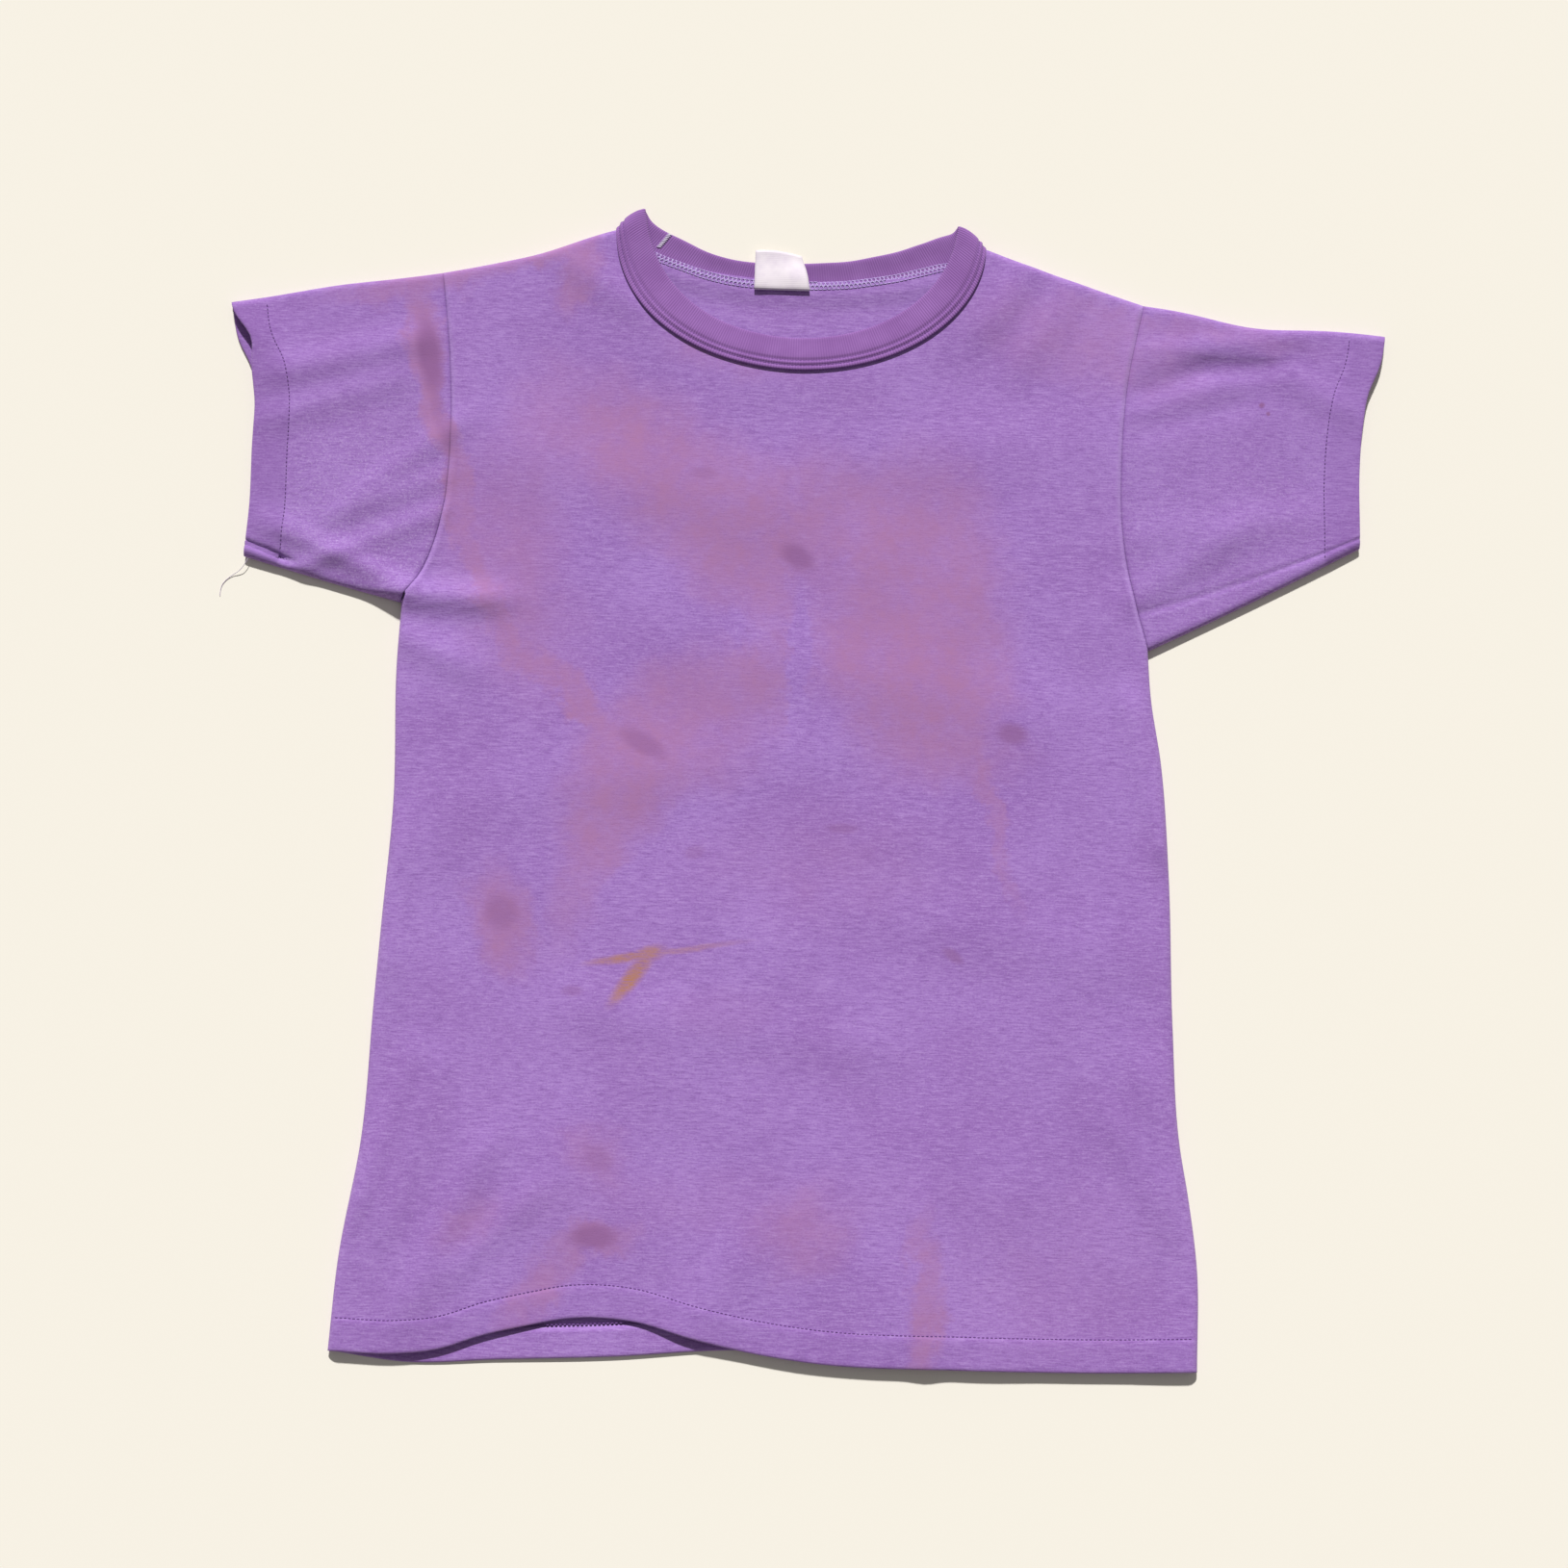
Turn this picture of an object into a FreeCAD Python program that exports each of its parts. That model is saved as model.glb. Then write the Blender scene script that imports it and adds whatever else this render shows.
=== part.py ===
import FreeCAD, Part
import math
import os

os.makedirs("parts", exist_ok=True)

# A crew-neck T-shirt lying on its back, front up, neck towards +Y, in millimetres.
# The origin is on the surface under the middle of the whole outline.
# Left and right are the wearer's: with the front up and the neck at +Y, the right sleeve is at -X.

# Cloth and thread
cloth = 0.7                # one layer of jersey
rib = 1.4                  # neck rib, folded double
thread = 0.3               # height of a sewn row above the cloth
seam_bulk = 0.6            # height of an overlocked seam above the cloth

# The shirt as it lies
lying_height = 10.0        # surface to the top of the front layer
sleeve_tip_x = 363.5       # centre to either sleeve's outer tip
hem_y = -352.0             # bottom edge
peak_y = 352.0             # highest points of the neck rib
opening_flare = 18.0       # how far a sleeve's tip stands out past the middle of its opening

# Outline of each half, from the hem up to the sleeve: (x, y) where the edge turns
right_side = {
    "hem_x": -259.0,
    "waist": (-244.0, -130.0),
    "underarm": (-242.0, 95.0),
    "armhole": (-220.0, 195.0),
    "shoulder": (-231.0, 309.0),
    "opening_low": (20.0, 120.0),       # inset from the tip, height
    "opening_mid_y": 215.0,
    "opening_top_y": 284.0,
}
left_side = {
    "hem_x": 243.0,
    "waist": (229.0, -150.0),
    "underarm": (213.0, 88.0),
    "armhole": (198.0, 200.0),
    "shoulder": (211.0, 301.0),
    "opening_low": (20.0, 143.0),
    "opening_mid_y": 225.0,
    "opening_top_y": 286.0,
}
sides = {"right": (-1, right_side), "left": (1, left_side)}

# Neck
neck_x = -6.0              # middle of the neck
neck_y = 337.0             # where the rib meets the shoulder line
neck_half_width = 117.0    # to the rib's outer edge
front_drop = 85.5          # shoulder line to the rib's outer edge, at the front
back_drop = 34.0           # the same at the back
front_rib = 22.0           # width of the rib at the front
back_rib = 20.0            # width that shows at the back, where it stands up a little
ear_inset = 18.5           # how far the rib leans in where it passes over the shoulder
rib_lap = 8.0              # rib lapped on the cloth

# Hems and seams
hem_width = 19.0           # turned up at the bottom
sleeve_hem_width = 22.0
row_width = 1.0            # one needle row
outer_row = 2.5            # rib edge to the outer needle row
inner_row = 6.0            # rib edge to the inner one
chain_inset = 3.0          # rib edge to the looper chain at the back
chain_width = 5.0
seam_width = 6.0           # armhole overlock
seam_tail = 4.0            # how far that seam runs past its corners
shoulder_seam = 5.0
underarm_seam = 5.0
seam_space = 2.0           # between a shoulder seam and the armhole seam that it meets
join_inset = 12.5          # rib's right peak to the seam that joins its two ends
join_width = 2.5

# Label
label_x = -17.5
label_width = 35.0
label_length = 26.7
label_thickness = 0.4
label_hang = 6.0           # how far the label's fold hangs down over its own stitching

# Folds and gaps
fold_margin = 4.0          # underarm corner to the line that the sleeve folds on
gap = 0.3                  # between pieces that move past each other
fold_lift = 1.2            # fold axis above the front layer
label_axis_lift = 0.2      # label's axis above its upper face

# Loose thread at the right sleeve's hem: where it comes out, and where it lies
loose_radius = 0.2
loose_route = [
    (-340.5, 121.0, 3.2),
    (-342.3, 116.6, 3.3),
    (-345.6, 112.6, 1.9),
    (-350.2, 109.9, 0.5),
    (-354.6, 106.4, 0.3),
    (-357.2, 101.6, 0.3),
    (-357.0, 96.6, 0.3),
]

spare = 12.0               # how far a cutting shape runs past what it cuts


def point(place, height=0.0):
    return FreeCAD.Vector(place[0], place[1], height)


def line(start, end):
    return Part.LineSegment(point(start), point(end)).toShape()


def arc(start, middle, end):
    return Part.Arc(point(start), point(middle), point(end)).toShape()


def lower_half(centre, half_width, drop):
    ellipse = Part.Ellipse(point(centre), half_width, drop)
    return Part.ArcOfEllipse(ellipse, math.pi, 2 * math.pi).toShape()


def prism(edges, low, high):
    wire = Part.Wire(Part.__sortEdges__(edges))
    face = Part.Face(wire)
    face.translate(FreeCAD.Vector(0, 0, low))
    return face.extrude(FreeCAD.Vector(0, 0, high - low))


def polygon(corners, low, high):
    ring = corners + corners[:1]
    edges = [line(a, b) for a, b in zip(ring, ring[1:])]
    return prism(edges, low, high)


def block(x_low, x_high, y_low, y_high, low, high):
    corners = [(x_low, y_low), (x_high, y_low), (x_high, y_high), (x_low, y_high)]
    return polygon(corners, low, high)


def moved(place, dx, dy):
    return (place[0] + dx, place[1] + dy)


def on_line(start, end, x):
    share = (x - start[0]) / (end[0] - start[0])
    return (x, start[1] + share * (end[1] - start[1]))


def drop_for(start, end, wall):
    # vertical shift that moves a sloping line sideways by the wall
    run = end[0] - start[0]
    rise = end[1] - start[1]
    return wall * math.hypot(run, rise) / abs(run)


def save(node, shape):
    shape = shape.removeSplitter()
    solids = shape.Solids
    if not shape.isValid() or not solids:
        raise ValueError(node + " is not a valid solid")
    shape.exportStep("parts/" + node + ".step")
    print(node, len(solids), "solid(s)", round(shape.Volume, 1), "mm3")


def neck_corner(way):
    return (neck_x + way * neck_half_width, neck_y)


def peak(way):
    return (neck_x + way * (neck_half_width - ear_inset), peak_y)


def hem_corner(side):
    return (side["hem_x"], hem_y)


def opening(way, side):
    tip = way * sleeve_tip_x
    inset, low_y = side["opening_low"]
    low = (tip - way * inset, low_y)
    middle = (tip - way * opening_flare, side["opening_mid_y"])
    top = (tip, side["opening_top_y"])
    return low, middle, top


# Body: one knitted tube, so it has no side seams

def body_outline(low, high):
    left_neck = neck_corner(1)
    right_neck = neck_corner(-1)
    edges = [line(hem_corner(right_side), hem_corner(left_side)), line(left_neck, right_neck)]
    for way, side in sides.values():
        edges.append(arc(hem_corner(side), side["waist"], side["underarm"]))
        edges.append(arc(side["underarm"], side["armhole"], side["shoulder"]))
        edges.append(line(side["shoulder"], neck_corner(way)))
    return prism(edges, low, high)


def body_inside(wall):
    # the space between the layers, open at the hem, the armholes and the neck
    edges = []
    for way, side in sides.values():
        hem = moved(hem_corner(side), -way * wall, 0)
        below = moved(hem, 0, -spare)
        waist = moved(side["waist"], -way * wall, 0)
        underarm = moved(side["underarm"], -way * wall, 0)
        out_low = moved(side["underarm"], way * spare, 0)
        neck = neck_corner(way)
        slope_shift = drop_for(side["shoulder"], neck, wall)
        out_high = on_line(side["shoulder"], neck, side["shoulder"][0] + way * spare)
        out_high = moved(out_high, 0, -slope_shift)
        neck_low = moved(neck, 0, -slope_shift)
        neck_high = moved(neck, 0, spare)
        edges += [line(below, hem), arc(hem, waist, underarm), line(underarm, out_low)]
        edges += [line(out_low, out_high), line(out_high, neck_low), line(neck_low, neck_high)]
    edges.append(line(moved(hem_corner(right_side), wall, -spare),
                      moved(hem_corner(left_side), -wall, -spare)))
    edges.append(line(moved(neck_corner(-1), 0, spare), moved(neck_corner(1), 0, spare)))
    return prism(edges, wall, lying_height - wall)


def neck_hole(drop, low, high):
    half_width = neck_half_width - rib_lap
    depth = drop - rib_lap
    start = (neck_x - half_width, neck_y)
    end = (neck_x + half_width, neck_y)
    edges = [lower_half((neck_x, neck_y), half_width, depth),
             line(end, moved(end, 0, spare)),
             line(moved(end, 0, spare), moved(start, 0, spare)),
             line(moved(start, 0, spare), start)]
    return prism(edges, low, high)


def make_body():
    outline = body_outline(0, lying_height)
    tube = outline.cut(body_inside(cloth))
    hem_box = block(right_side["hem_x"] - spare, left_side["hem_x"] + spare,
                    hem_y - spare, hem_y + hem_width, -spare, lying_height + spare)
    turned_up = outline.common(hem_box).cut(body_inside(2 * cloth))
    tube = tube.fuse(turned_up)
    middle = lying_height / 2
    tube = tube.cut(neck_hole(front_drop, middle, lying_height + spare))
    return tube.cut(neck_hole(back_drop, -spare, middle))


# Sleeves: the head stays with the body, the rest folds over the chest

def sleeve_outline(way, side, low, high):
    opening_low, opening_mid, opening_top = opening(way, side)
    edges = [arc(side["underarm"], side["armhole"], side["shoulder"]),
             line(side["shoulder"], opening_top),
             arc(opening_top, opening_mid, opening_low),
             line(opening_low, side["underarm"])]
    return prism(edges, low, high)


def sleeve_inside(way, side, wall):
    # the arm's way through, open at both ends
    opening_low, _, opening_top = opening(way, side)
    near = side["armhole"][0] - way * spare
    far = way * (sleeve_tip_x + spare)
    low_shift = drop_for(side["underarm"], opening_low, wall)
    top_shift = drop_for(side["shoulder"], opening_top, wall)
    corners = [moved(on_line(side["underarm"], opening_low, near), 0, low_shift),
               moved(on_line(side["underarm"], opening_low, far), 0, low_shift),
               moved(on_line(side["shoulder"], opening_top, far), 0, -top_shift),
               moved(on_line(side["shoulder"], opening_top, near), 0, -top_shift)]
    return polygon(corners, wall, lying_height - wall)


def opening_band(way, side, start, end, low, high):
    # a strip that follows the sleeve's opening, between two distances from it
    edge_low, edge_mid, edge_top = opening(way, side)
    outer = [moved(place, -way * start, 0) for place in (edge_low, edge_mid, edge_top)]
    inner = [moved(place, -way * end, 0) for place in (edge_low, edge_mid, edge_top)]
    up = [(outer[2][0], outer[2][1] + spare), (inner[2][0], inner[2][1] + spare)]
    down = [(outer[0][0], outer[0][1] - spare), (inner[0][0], inner[0][1] - spare)]
    edges = [arc(*outer), line(outer[2], up[0]), line(up[0], up[1]), line(up[1], inner[2]),
             arc(*reversed(inner)), line(inner[0], down[1]), line(down[1], down[0]),
             line(down[0], outer[0])]
    return prism(edges, low, high)


def fold_x(way, side):
    return side["underarm"][0] + way * fold_margin


def make_sleeve(way, side):
    outline = sleeve_outline(way, side, 0, lying_height)
    tube = outline.cut(sleeve_inside(way, side, cloth))
    hem = outline.common(opening_band(way, side, -spare, sleeve_hem_width, 0, lying_height))
    tube = tube.fuse(hem.cut(sleeve_inside(way, side, 2 * cloth)))
    line_x = fold_x(way, side)
    inboard = sorted([side["armhole"][0] - way * spare * 2, line_x])
    outboard = sorted([line_x + way * gap, way * (sleeve_tip_x + spare)])
    y_low = side["underarm"][1] - spare
    y_high = side["shoulder"][1] + spare
    head = tube.common(block(*inboard, y_low, y_high, -spare, lying_height + spare))
    outer = tube.common(block(*outboard, y_low, y_high, -spare, lying_height + spare))
    return head, outer


# Neck rib: one ring, lapped on the front and on the inside of the back

def rib_band(drop, width, low, high):
    outer = lower_half((neck_x, neck_y), neck_half_width, drop)
    inner_drop = peak_y - (neck_y - drop + width)
    inner = lower_half((neck_x, peak_y), neck_half_width - ear_inset, inner_drop)
    edges = [outer, inner, line(neck_corner(-1), peak(-1)), line(neck_corner(1), peak(1))]
    return prism(edges, low, high)


def make_rib(body):
    ring = rib_band(front_drop, front_rib, lying_height, lying_height + rib)
    ring = ring.fuse(rib_band(back_drop, back_rib, cloth, cloth + rib))
    for way in (-1, 1):
        low_end = neck_corner(way)
        high_end = peak(way)
        run = high_end[0] - low_end[0]
        rise = high_end[1] - low_end[1]
        length = math.hypot(run, rise)
        inward = (-way * rise / length * rib, -abs(run) / length * rib)
        corners = [low_end, high_end, moved(high_end, *inward), moved(low_end, *inward)]
        ring = ring.fuse(polygon(corners, cloth, lying_height + rib))
    return ring.cut(body)


def ring_row(drop, start, end, low, high):
    # a strip inside the rib's outer edge, between two distances from it
    centre = (neck_x, neck_y)
    outer = lower_half(centre, neck_half_width - start, drop - start)
    inner = lower_half(centre, neck_half_width - end, drop - end)
    tips = []
    for way in (-1, 1):
        tips.append(line((neck_x + way * (neck_half_width - start), neck_y),
                         (neck_x + way * (neck_half_width - end), neck_y)))
    return prism([outer, inner] + tips, low, high)


# Sewn rows and seams

def make_hem_rows():
    y_high = hem_y + hem_width
    x_low = right_side["hem_x"]
    x_high = left_side["hem_x"]
    front_top = lying_height + thread
    front = block(x_low, x_high, y_high - row_width, y_high, lying_height, front_top)
    front = front.common(body_outline(lying_height, front_top))
    back_low = 2 * cloth
    back = block(x_low, x_high, y_high - row_width, y_high, back_low, back_low + thread)
    return front.fuse(back.common(body_inside(back_low)))


def make_sleeve_hem_rows(way, side):
    start = sleeve_hem_width - row_width
    front = opening_band(way, side, start, sleeve_hem_width, lying_height, lying_height + thread)
    back = opening_band(way, side, start, sleeve_hem_width, 2 * cloth, 2 * cloth + thread)
    inside = sleeve_inside(way, side, 2 * cloth)
    front = front.common(sleeve_outline(way, side, lying_height, lying_height + thread))
    return front.fuse(back.common(inside))


def make_armhole_seam(way, side):
    corner_low = moved(side["underarm"], 0, -seam_tail)
    corner_high = moved(side["shoulder"], 0, seam_tail)
    shift = -way * seam_width
    edges = [arc(side["underarm"], side["armhole"], side["shoulder"]),
             line(side["underarm"], corner_low),
             line(corner_low, moved(corner_low, shift, 0)),
             line(moved(corner_low, shift, 0), moved(side["underarm"], shift, 0)),
             arc(moved(side["underarm"], shift, 0), moved(side["armhole"], shift, 0),
                 moved(side["shoulder"], shift, 0)),
             line(moved(side["shoulder"], shift, 0), moved(corner_high, shift, 0)),
             line(moved(corner_high, shift, 0), corner_high),
             line(corner_high, side["shoulder"])]
    band = prism(edges, 0, lying_height)
    return band.common(body_inside(cloth)).cut(body_inside(cloth + seam_bulk))


def make_shoulder_seam(way, side):
    neck = neck_corner(way)
    near = neck[0] + way * spare
    far = side["shoulder"][0] - way * (seam_width + seam_space)
    near_top = on_line(side["shoulder"], neck, near)
    far_top = on_line(side["shoulder"], neck, far)
    corners = [near_top, far_top, moved(far_top, 0, -shoulder_seam),
               moved(near_top, 0, -shoulder_seam)]
    band = polygon(corners, 0, lying_height)
    return band.common(body_inside(cloth)).cut(body_inside(cloth + seam_bulk))


def make_underarm_seam(way, side):
    opening_low = opening(way, side)[0]
    near = fold_x(way, side) + way * 2 * gap
    far = opening_low[0] - way * (sleeve_hem_width + gap)
    near_low = on_line(side["underarm"], opening_low, near)
    far_low = on_line(side["underarm"], opening_low, far)
    corners = [near_low, far_low, moved(far_low, 0, underarm_seam),
               moved(near_low, 0, underarm_seam)]
    band = polygon(corners, 0, lying_height)
    inner = sleeve_inside(way, side, cloth + seam_bulk)
    return band.common(sleeve_inside(way, side, cloth)).cut(inner)


def chain_band(low, high):
    # the looper chain stops short of where the rib turns up over the shoulders
    band = ring_row(back_drop, chain_inset, chain_inset + chain_width, low, high)
    reach = neck_half_width - ear_inset - join_width
    bottom = neck_y - back_drop
    return band.common(block(neck_x - reach, neck_x + reach, bottom, neck_y - gap, low, high))


chain_low = cloth + rib
chain_top = chain_low + thread


def make_rib_join():
    # an overlocked bar from the looper chain to the rib's fold
    high = chain_low + seam_bulk
    x_low = peak(-1)[0] + join_inset
    bar = block(x_low, x_low + join_width, neck_y - back_drop, peak_y, chain_low, high)
    bar = bar.common(rib_band(back_drop, back_rib, chain_low, high))
    lap = ring_row(back_drop, 0, chain_inset + chain_width + gap, chain_low, high)
    return bar.cut(lap)


# Label: caught in the chain at the back of the neck, and flipped up

label_low = chain_top + thread + gap
label_root_y = neck_y - back_drop + chain_inset + chain_width + gap - label_hang


def make_label_stitch():
    x_low = label_x - label_width / 2
    seam = chain_band(chain_top, chain_top + thread)
    return seam.common(block(x_low, x_low + label_width, neck_y - back_drop, neck_y,
                             chain_top, chain_top + thread))


def make_label():
    x_low = label_x - label_width / 2
    return block(x_low, x_low + label_width, label_root_y, label_root_y + label_length,
                 label_low, label_low + label_thickness)


# Loose thread: straight runs joined by the largest arcs that they allow

def make_loose_thread():
    places = [FreeCAD.Vector(*place) for place in loose_route]
    edges = []
    start = places[0]
    for before, corner, after in zip(places, places[1:], places[2:]):
        into = (corner - before).normalize()
        out = (after - corner).normalize()
        turn = into.getAngle(out)
        cut = 0.45 * min((corner - before).Length, (after - corner).Length)
        radius = cut / math.tan(turn / 2)
        arc_start = corner - into * cut
        arc_end = corner + out * cut
        middle_way = (out - into).normalize()
        depth = radius / math.cos(turn / 2) - radius
        print("loose thread radius", round(radius, 2))
        edges.append(Part.LineSegment(start, arc_start).toShape())
        edges.append(Part.Arc(arc_start, corner + middle_way * depth, arc_end).toShape())
        start = arc_end
    edges.append(Part.LineSegment(start, places[-1]).toShape())
    path = Part.Wire(edges)
    circle = Part.Circle(places[0], places[1] - places[0], loose_radius)
    section = Part.Wire([circle.toShape()])
    tube = path.makePipeShell([section], True, False)
    expected = math.pi * loose_radius ** 2 * path.Length
    print("loose thread length", round(path.Length, 2), "volume", round(tube.Volume / expected, 4))
    return tube


body = make_body()
save("body_tube", body)
save("neck_rib", make_rib(body))
top = lying_height + rib
save("neck_stitch_outer", ring_row(front_drop, outer_row, outer_row + row_width, top, top + thread))
save("neck_stitch_inner", ring_row(front_drop, inner_row, inner_row + row_width, top, top + thread))
save("neck_looper_chain", chain_band(chain_low, chain_top))
save("rib_join_seam", make_rib_join())
save("label_stitch", make_label_stitch())
save("neck_label", make_label())
save("hem_stitch", make_hem_rows())
for name, (way, side) in sides.items():
    head, outer = make_sleeve(way, side)
    save("sleeve_head_" + name, head)
    save("sleeve_" + name, outer)
    save("armhole_seam_" + name, make_armhole_seam(way, side))
    save("shoulder_seam_" + name, make_shoulder_seam(way, side))
    save("underarm_seam_" + name, make_underarm_seam(way, side))
    save("sleeve_hem_stitch_" + name, make_sleeve_hem_rows(way, side))
save("loose_thread", make_loose_thread())

print("label axis at y", round(label_root_y - gap / 2, 3),
      "z", round(label_low + label_thickness + label_axis_lift, 3))
for name, (way, side) in sides.items():
    print(name, "sleeve folds at x", fold_x(way, side), "z", lying_height + fold_lift)
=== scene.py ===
import math
import bpy
import numpy as np
from mathutils import Matrix, Vector
from mathutils.bvhtree import BVHTree


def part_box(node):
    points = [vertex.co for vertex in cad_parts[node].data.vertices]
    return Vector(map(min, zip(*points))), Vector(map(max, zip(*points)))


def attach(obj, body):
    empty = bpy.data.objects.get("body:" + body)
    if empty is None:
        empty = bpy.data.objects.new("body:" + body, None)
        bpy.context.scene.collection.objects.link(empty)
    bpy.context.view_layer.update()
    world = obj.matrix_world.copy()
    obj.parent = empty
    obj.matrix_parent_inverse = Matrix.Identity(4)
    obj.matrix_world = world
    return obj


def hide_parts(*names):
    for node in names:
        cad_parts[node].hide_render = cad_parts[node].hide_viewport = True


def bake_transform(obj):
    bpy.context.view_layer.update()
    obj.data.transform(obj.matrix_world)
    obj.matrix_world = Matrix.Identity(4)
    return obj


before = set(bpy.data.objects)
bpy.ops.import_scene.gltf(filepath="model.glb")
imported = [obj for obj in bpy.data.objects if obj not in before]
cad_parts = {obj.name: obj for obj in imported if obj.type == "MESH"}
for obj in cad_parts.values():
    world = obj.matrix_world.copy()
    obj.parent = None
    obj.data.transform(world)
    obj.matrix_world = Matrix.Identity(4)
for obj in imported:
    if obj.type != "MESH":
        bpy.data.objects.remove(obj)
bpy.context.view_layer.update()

mm = 0.001               # shapes are worked out in millimetres and turned to metres when placed


def clearSelection():
    bpy.ops.object.select_all(action="DESELECT")


def boxMm(node):
    low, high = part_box(node)
    return np.array(low) / mm, np.array(high) / mm


def smooth(value, low, high):
    share = np.clip((np.asarray(value, float) - low) / (high - low), 0, 1)
    return share * share * (3 - 2 * share)


def curveThrough(points, at):
    # smooth line through a few (place, value) points
    places = np.array([p[0] for p in points], float)
    values = np.array([p[1] for p in points], float)
    slopes = np.gradient(values, places)
    at = np.clip(at, places[0], places[-1])
    i = np.clip(np.searchsorted(places, at) - 1, 0, len(places) - 2)
    step = places[i + 1] - places[i]
    t = (at - places[i]) / step
    a = (2 * t**3 - 3 * t**2 + 1) * values[i] + (t**3 - 2 * t**2 + t) * step * slopes[i]
    b = (3 * t**2 - 2 * t**3) * values[i + 1] + (t**3 - t**2) * step * slopes[i + 1]
    return a + b


def sheetGrid(name, points, painted=None):
    # a grid primitive with every vertex moved to its place; points is rows x columns x 3,
    # and painted holds a value for each vertex under the name that a material reads
    rows, columns = points.shape[:2]
    clearSelection()
    bpy.ops.mesh.primitive_grid_add(x_subdivisions=columns - 1, y_subdivisions=rows - 1, size=1)
    piece = bpy.context.object
    piece.name = name
    piece.data.name = name
    piece.data.vertices.foreach_set("co", (points.reshape(-1, 3) * mm).ravel())
    for key, values in (painted or {}).items():
        layer = piece.data.attributes.new(key, "FLOAT", "POINT")
        layer.data.foreach_set("value", np.asarray(values, np.float32).ravel())
    piece.data.update()
    return piece


def dropOn(piece, points, lift):
    # lowers each point on to the uppermost face of a piece, and gives that face's normal
    tree = BVHTree.FromObject(piece, bpy.context.evaluated_depsgraph_get())
    placed = []
    normals = []
    for x, y in np.asarray(points)[:, :2] * mm:
        place, normal, _, _ = tree.ray_cast(Vector((x, y, 0.05)), Vector((0, 0, -1)))
        if place is None:
            continue
        placed.append(np.array(place) / mm + np.array(normal) * lift)
        normals.append(np.array(normal))
    return np.array(placed), np.array(normals)


def joined(name, pieces):
    clearSelection()
    for piece in pieces:
        piece.select_set(True)
    bpy.context.view_layer.objects.active = pieces[0]
    bpy.ops.object.join()
    whole = bpy.context.object
    whole.name = name
    whole.data.name = name
    return whole


def mergeDoubles(piece, distance=0.00002):
    clearSelection()
    piece.select_set(True)
    bpy.context.view_layer.objects.active = piece
    bpy.ops.object.mode_set(mode="EDIT")
    bpy.ops.mesh.select_all(action="SELECT")
    bpy.ops.mesh.remove_doubles(threshold=distance)
    bpy.ops.object.mode_set(mode="OBJECT")


def thicken(piece, thickness, innerSlot=0):
    clearSelection()
    piece.select_set(True)
    bpy.context.view_layer.objects.active = piece
    solid = piece.modifiers.new("Cloth", "SOLIDIFY")
    solid.thickness = thickness * mm
    solid.offset = -1
    solid.use_rim = True
    solid.material_offset = innerSlot
    bpy.ops.object.modifier_apply(modifier=solid.name)
    bpy.ops.object.shade_smooth()


def pointOutwards():
    # recalculates the normals of the selected piece, and smooths its shading
    bpy.ops.object.mode_set(mode="EDIT")
    bpy.ops.mesh.select_all(action="SELECT")
    bpy.ops.mesh.normals_make_consistent(inside=False)
    bpy.ops.object.mode_set(mode="OBJECT")
    bpy.ops.object.shade_smooth()


def unit(vectors):
    return vectors / np.maximum(np.linalg.norm(vectors, axis=-1, keepdims=True), 1e-9)


def distanceTo(lines, x, y, ended=True):
    # to the nearest of several lines; when not ended, each one is taken to run on for ever
    nearest = np.full(np.shape(x), 1e3)
    for line in lines:
        for a, b in zip(line, line[1:]):
            run = b - a
            share = ((x - a[0]) * run[0] + (y - a[1]) * run[1]) / max(run @ run, 1e-9)
            if ended:
                share = np.clip(share, 0, 1)
            gap = np.hypot(x - a[0] - share * run[0], y - a[1] - share * run[1])
            nearest = np.minimum(nearest, gap)
    return nearest


view = {
    "target": (-0.006, -0.010, 0.0),
    "distance": 1.3236,
    "elevation": 80.0,
    "roll": 1.8,
    "lens": 50.0,
}
light = {
    "sunStrength": 4.15,
    "sunElevation": 37.0,
    "sunSoftness": 3.5,
    "skyStrength": 0.20,
    "floor": "#f8f2e5",
}


def linear(hexColour):
    # sRGB hex to the linear colour that shaders take
    parts = [int(hexColour[i:i + 2], 16) / 255 for i in (1, 3, 5)]
    return tuple(c / 12.92 if c <= 0.04045 else ((c + 0.055) / 1.055) ** 2.4 for c in parts) + (1,)


def addCamera():
    elevation = math.radians(view["elevation"])
    roll = math.radians(view["roll"])
    back = Vector((0, -math.cos(elevation), math.sin(elevation)))
    right = Vector((1, 0, 0))
    up = back.cross(right)
    turnedRight = right * math.cos(roll) + up * math.sin(roll)
    turnedUp = up * math.cos(roll) - right * math.sin(roll)
    clearSelection()
    bpy.ops.object.camera_add()
    camera = bpy.context.object
    camera.data.lens = view["lens"]
    camera.data.sensor_width = 36
    turn = Matrix((turnedRight, turnedUp, back)).transposed().to_4x4()
    place = Vector(view["target"]) + back * view["distance"]
    camera.matrix_world = Matrix.Translation(place) @ turn
    bpy.context.scene.camera = camera


def addLight():
    clearSelection()
    bpy.ops.object.light_add(type="SUN", location=(0, 1, 1))
    sun = bpy.context.object
    sun.data.energy = light["sunStrength"]
    sun.data.angle = math.radians(light["sunSoftness"])
    sun.rotation_euler = (-math.radians(90 - light["sunElevation"]), 0, math.radians(4))
    world = bpy.data.worlds.new("Studio")
    bpy.context.scene.world = world
    world.use_nodes = True
    sky = world.node_tree.nodes["Background"]
    sky.inputs["Color"].default_value = (1, 1, 1, 1)
    sky.inputs["Strength"].default_value = light["skyStrength"]


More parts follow.
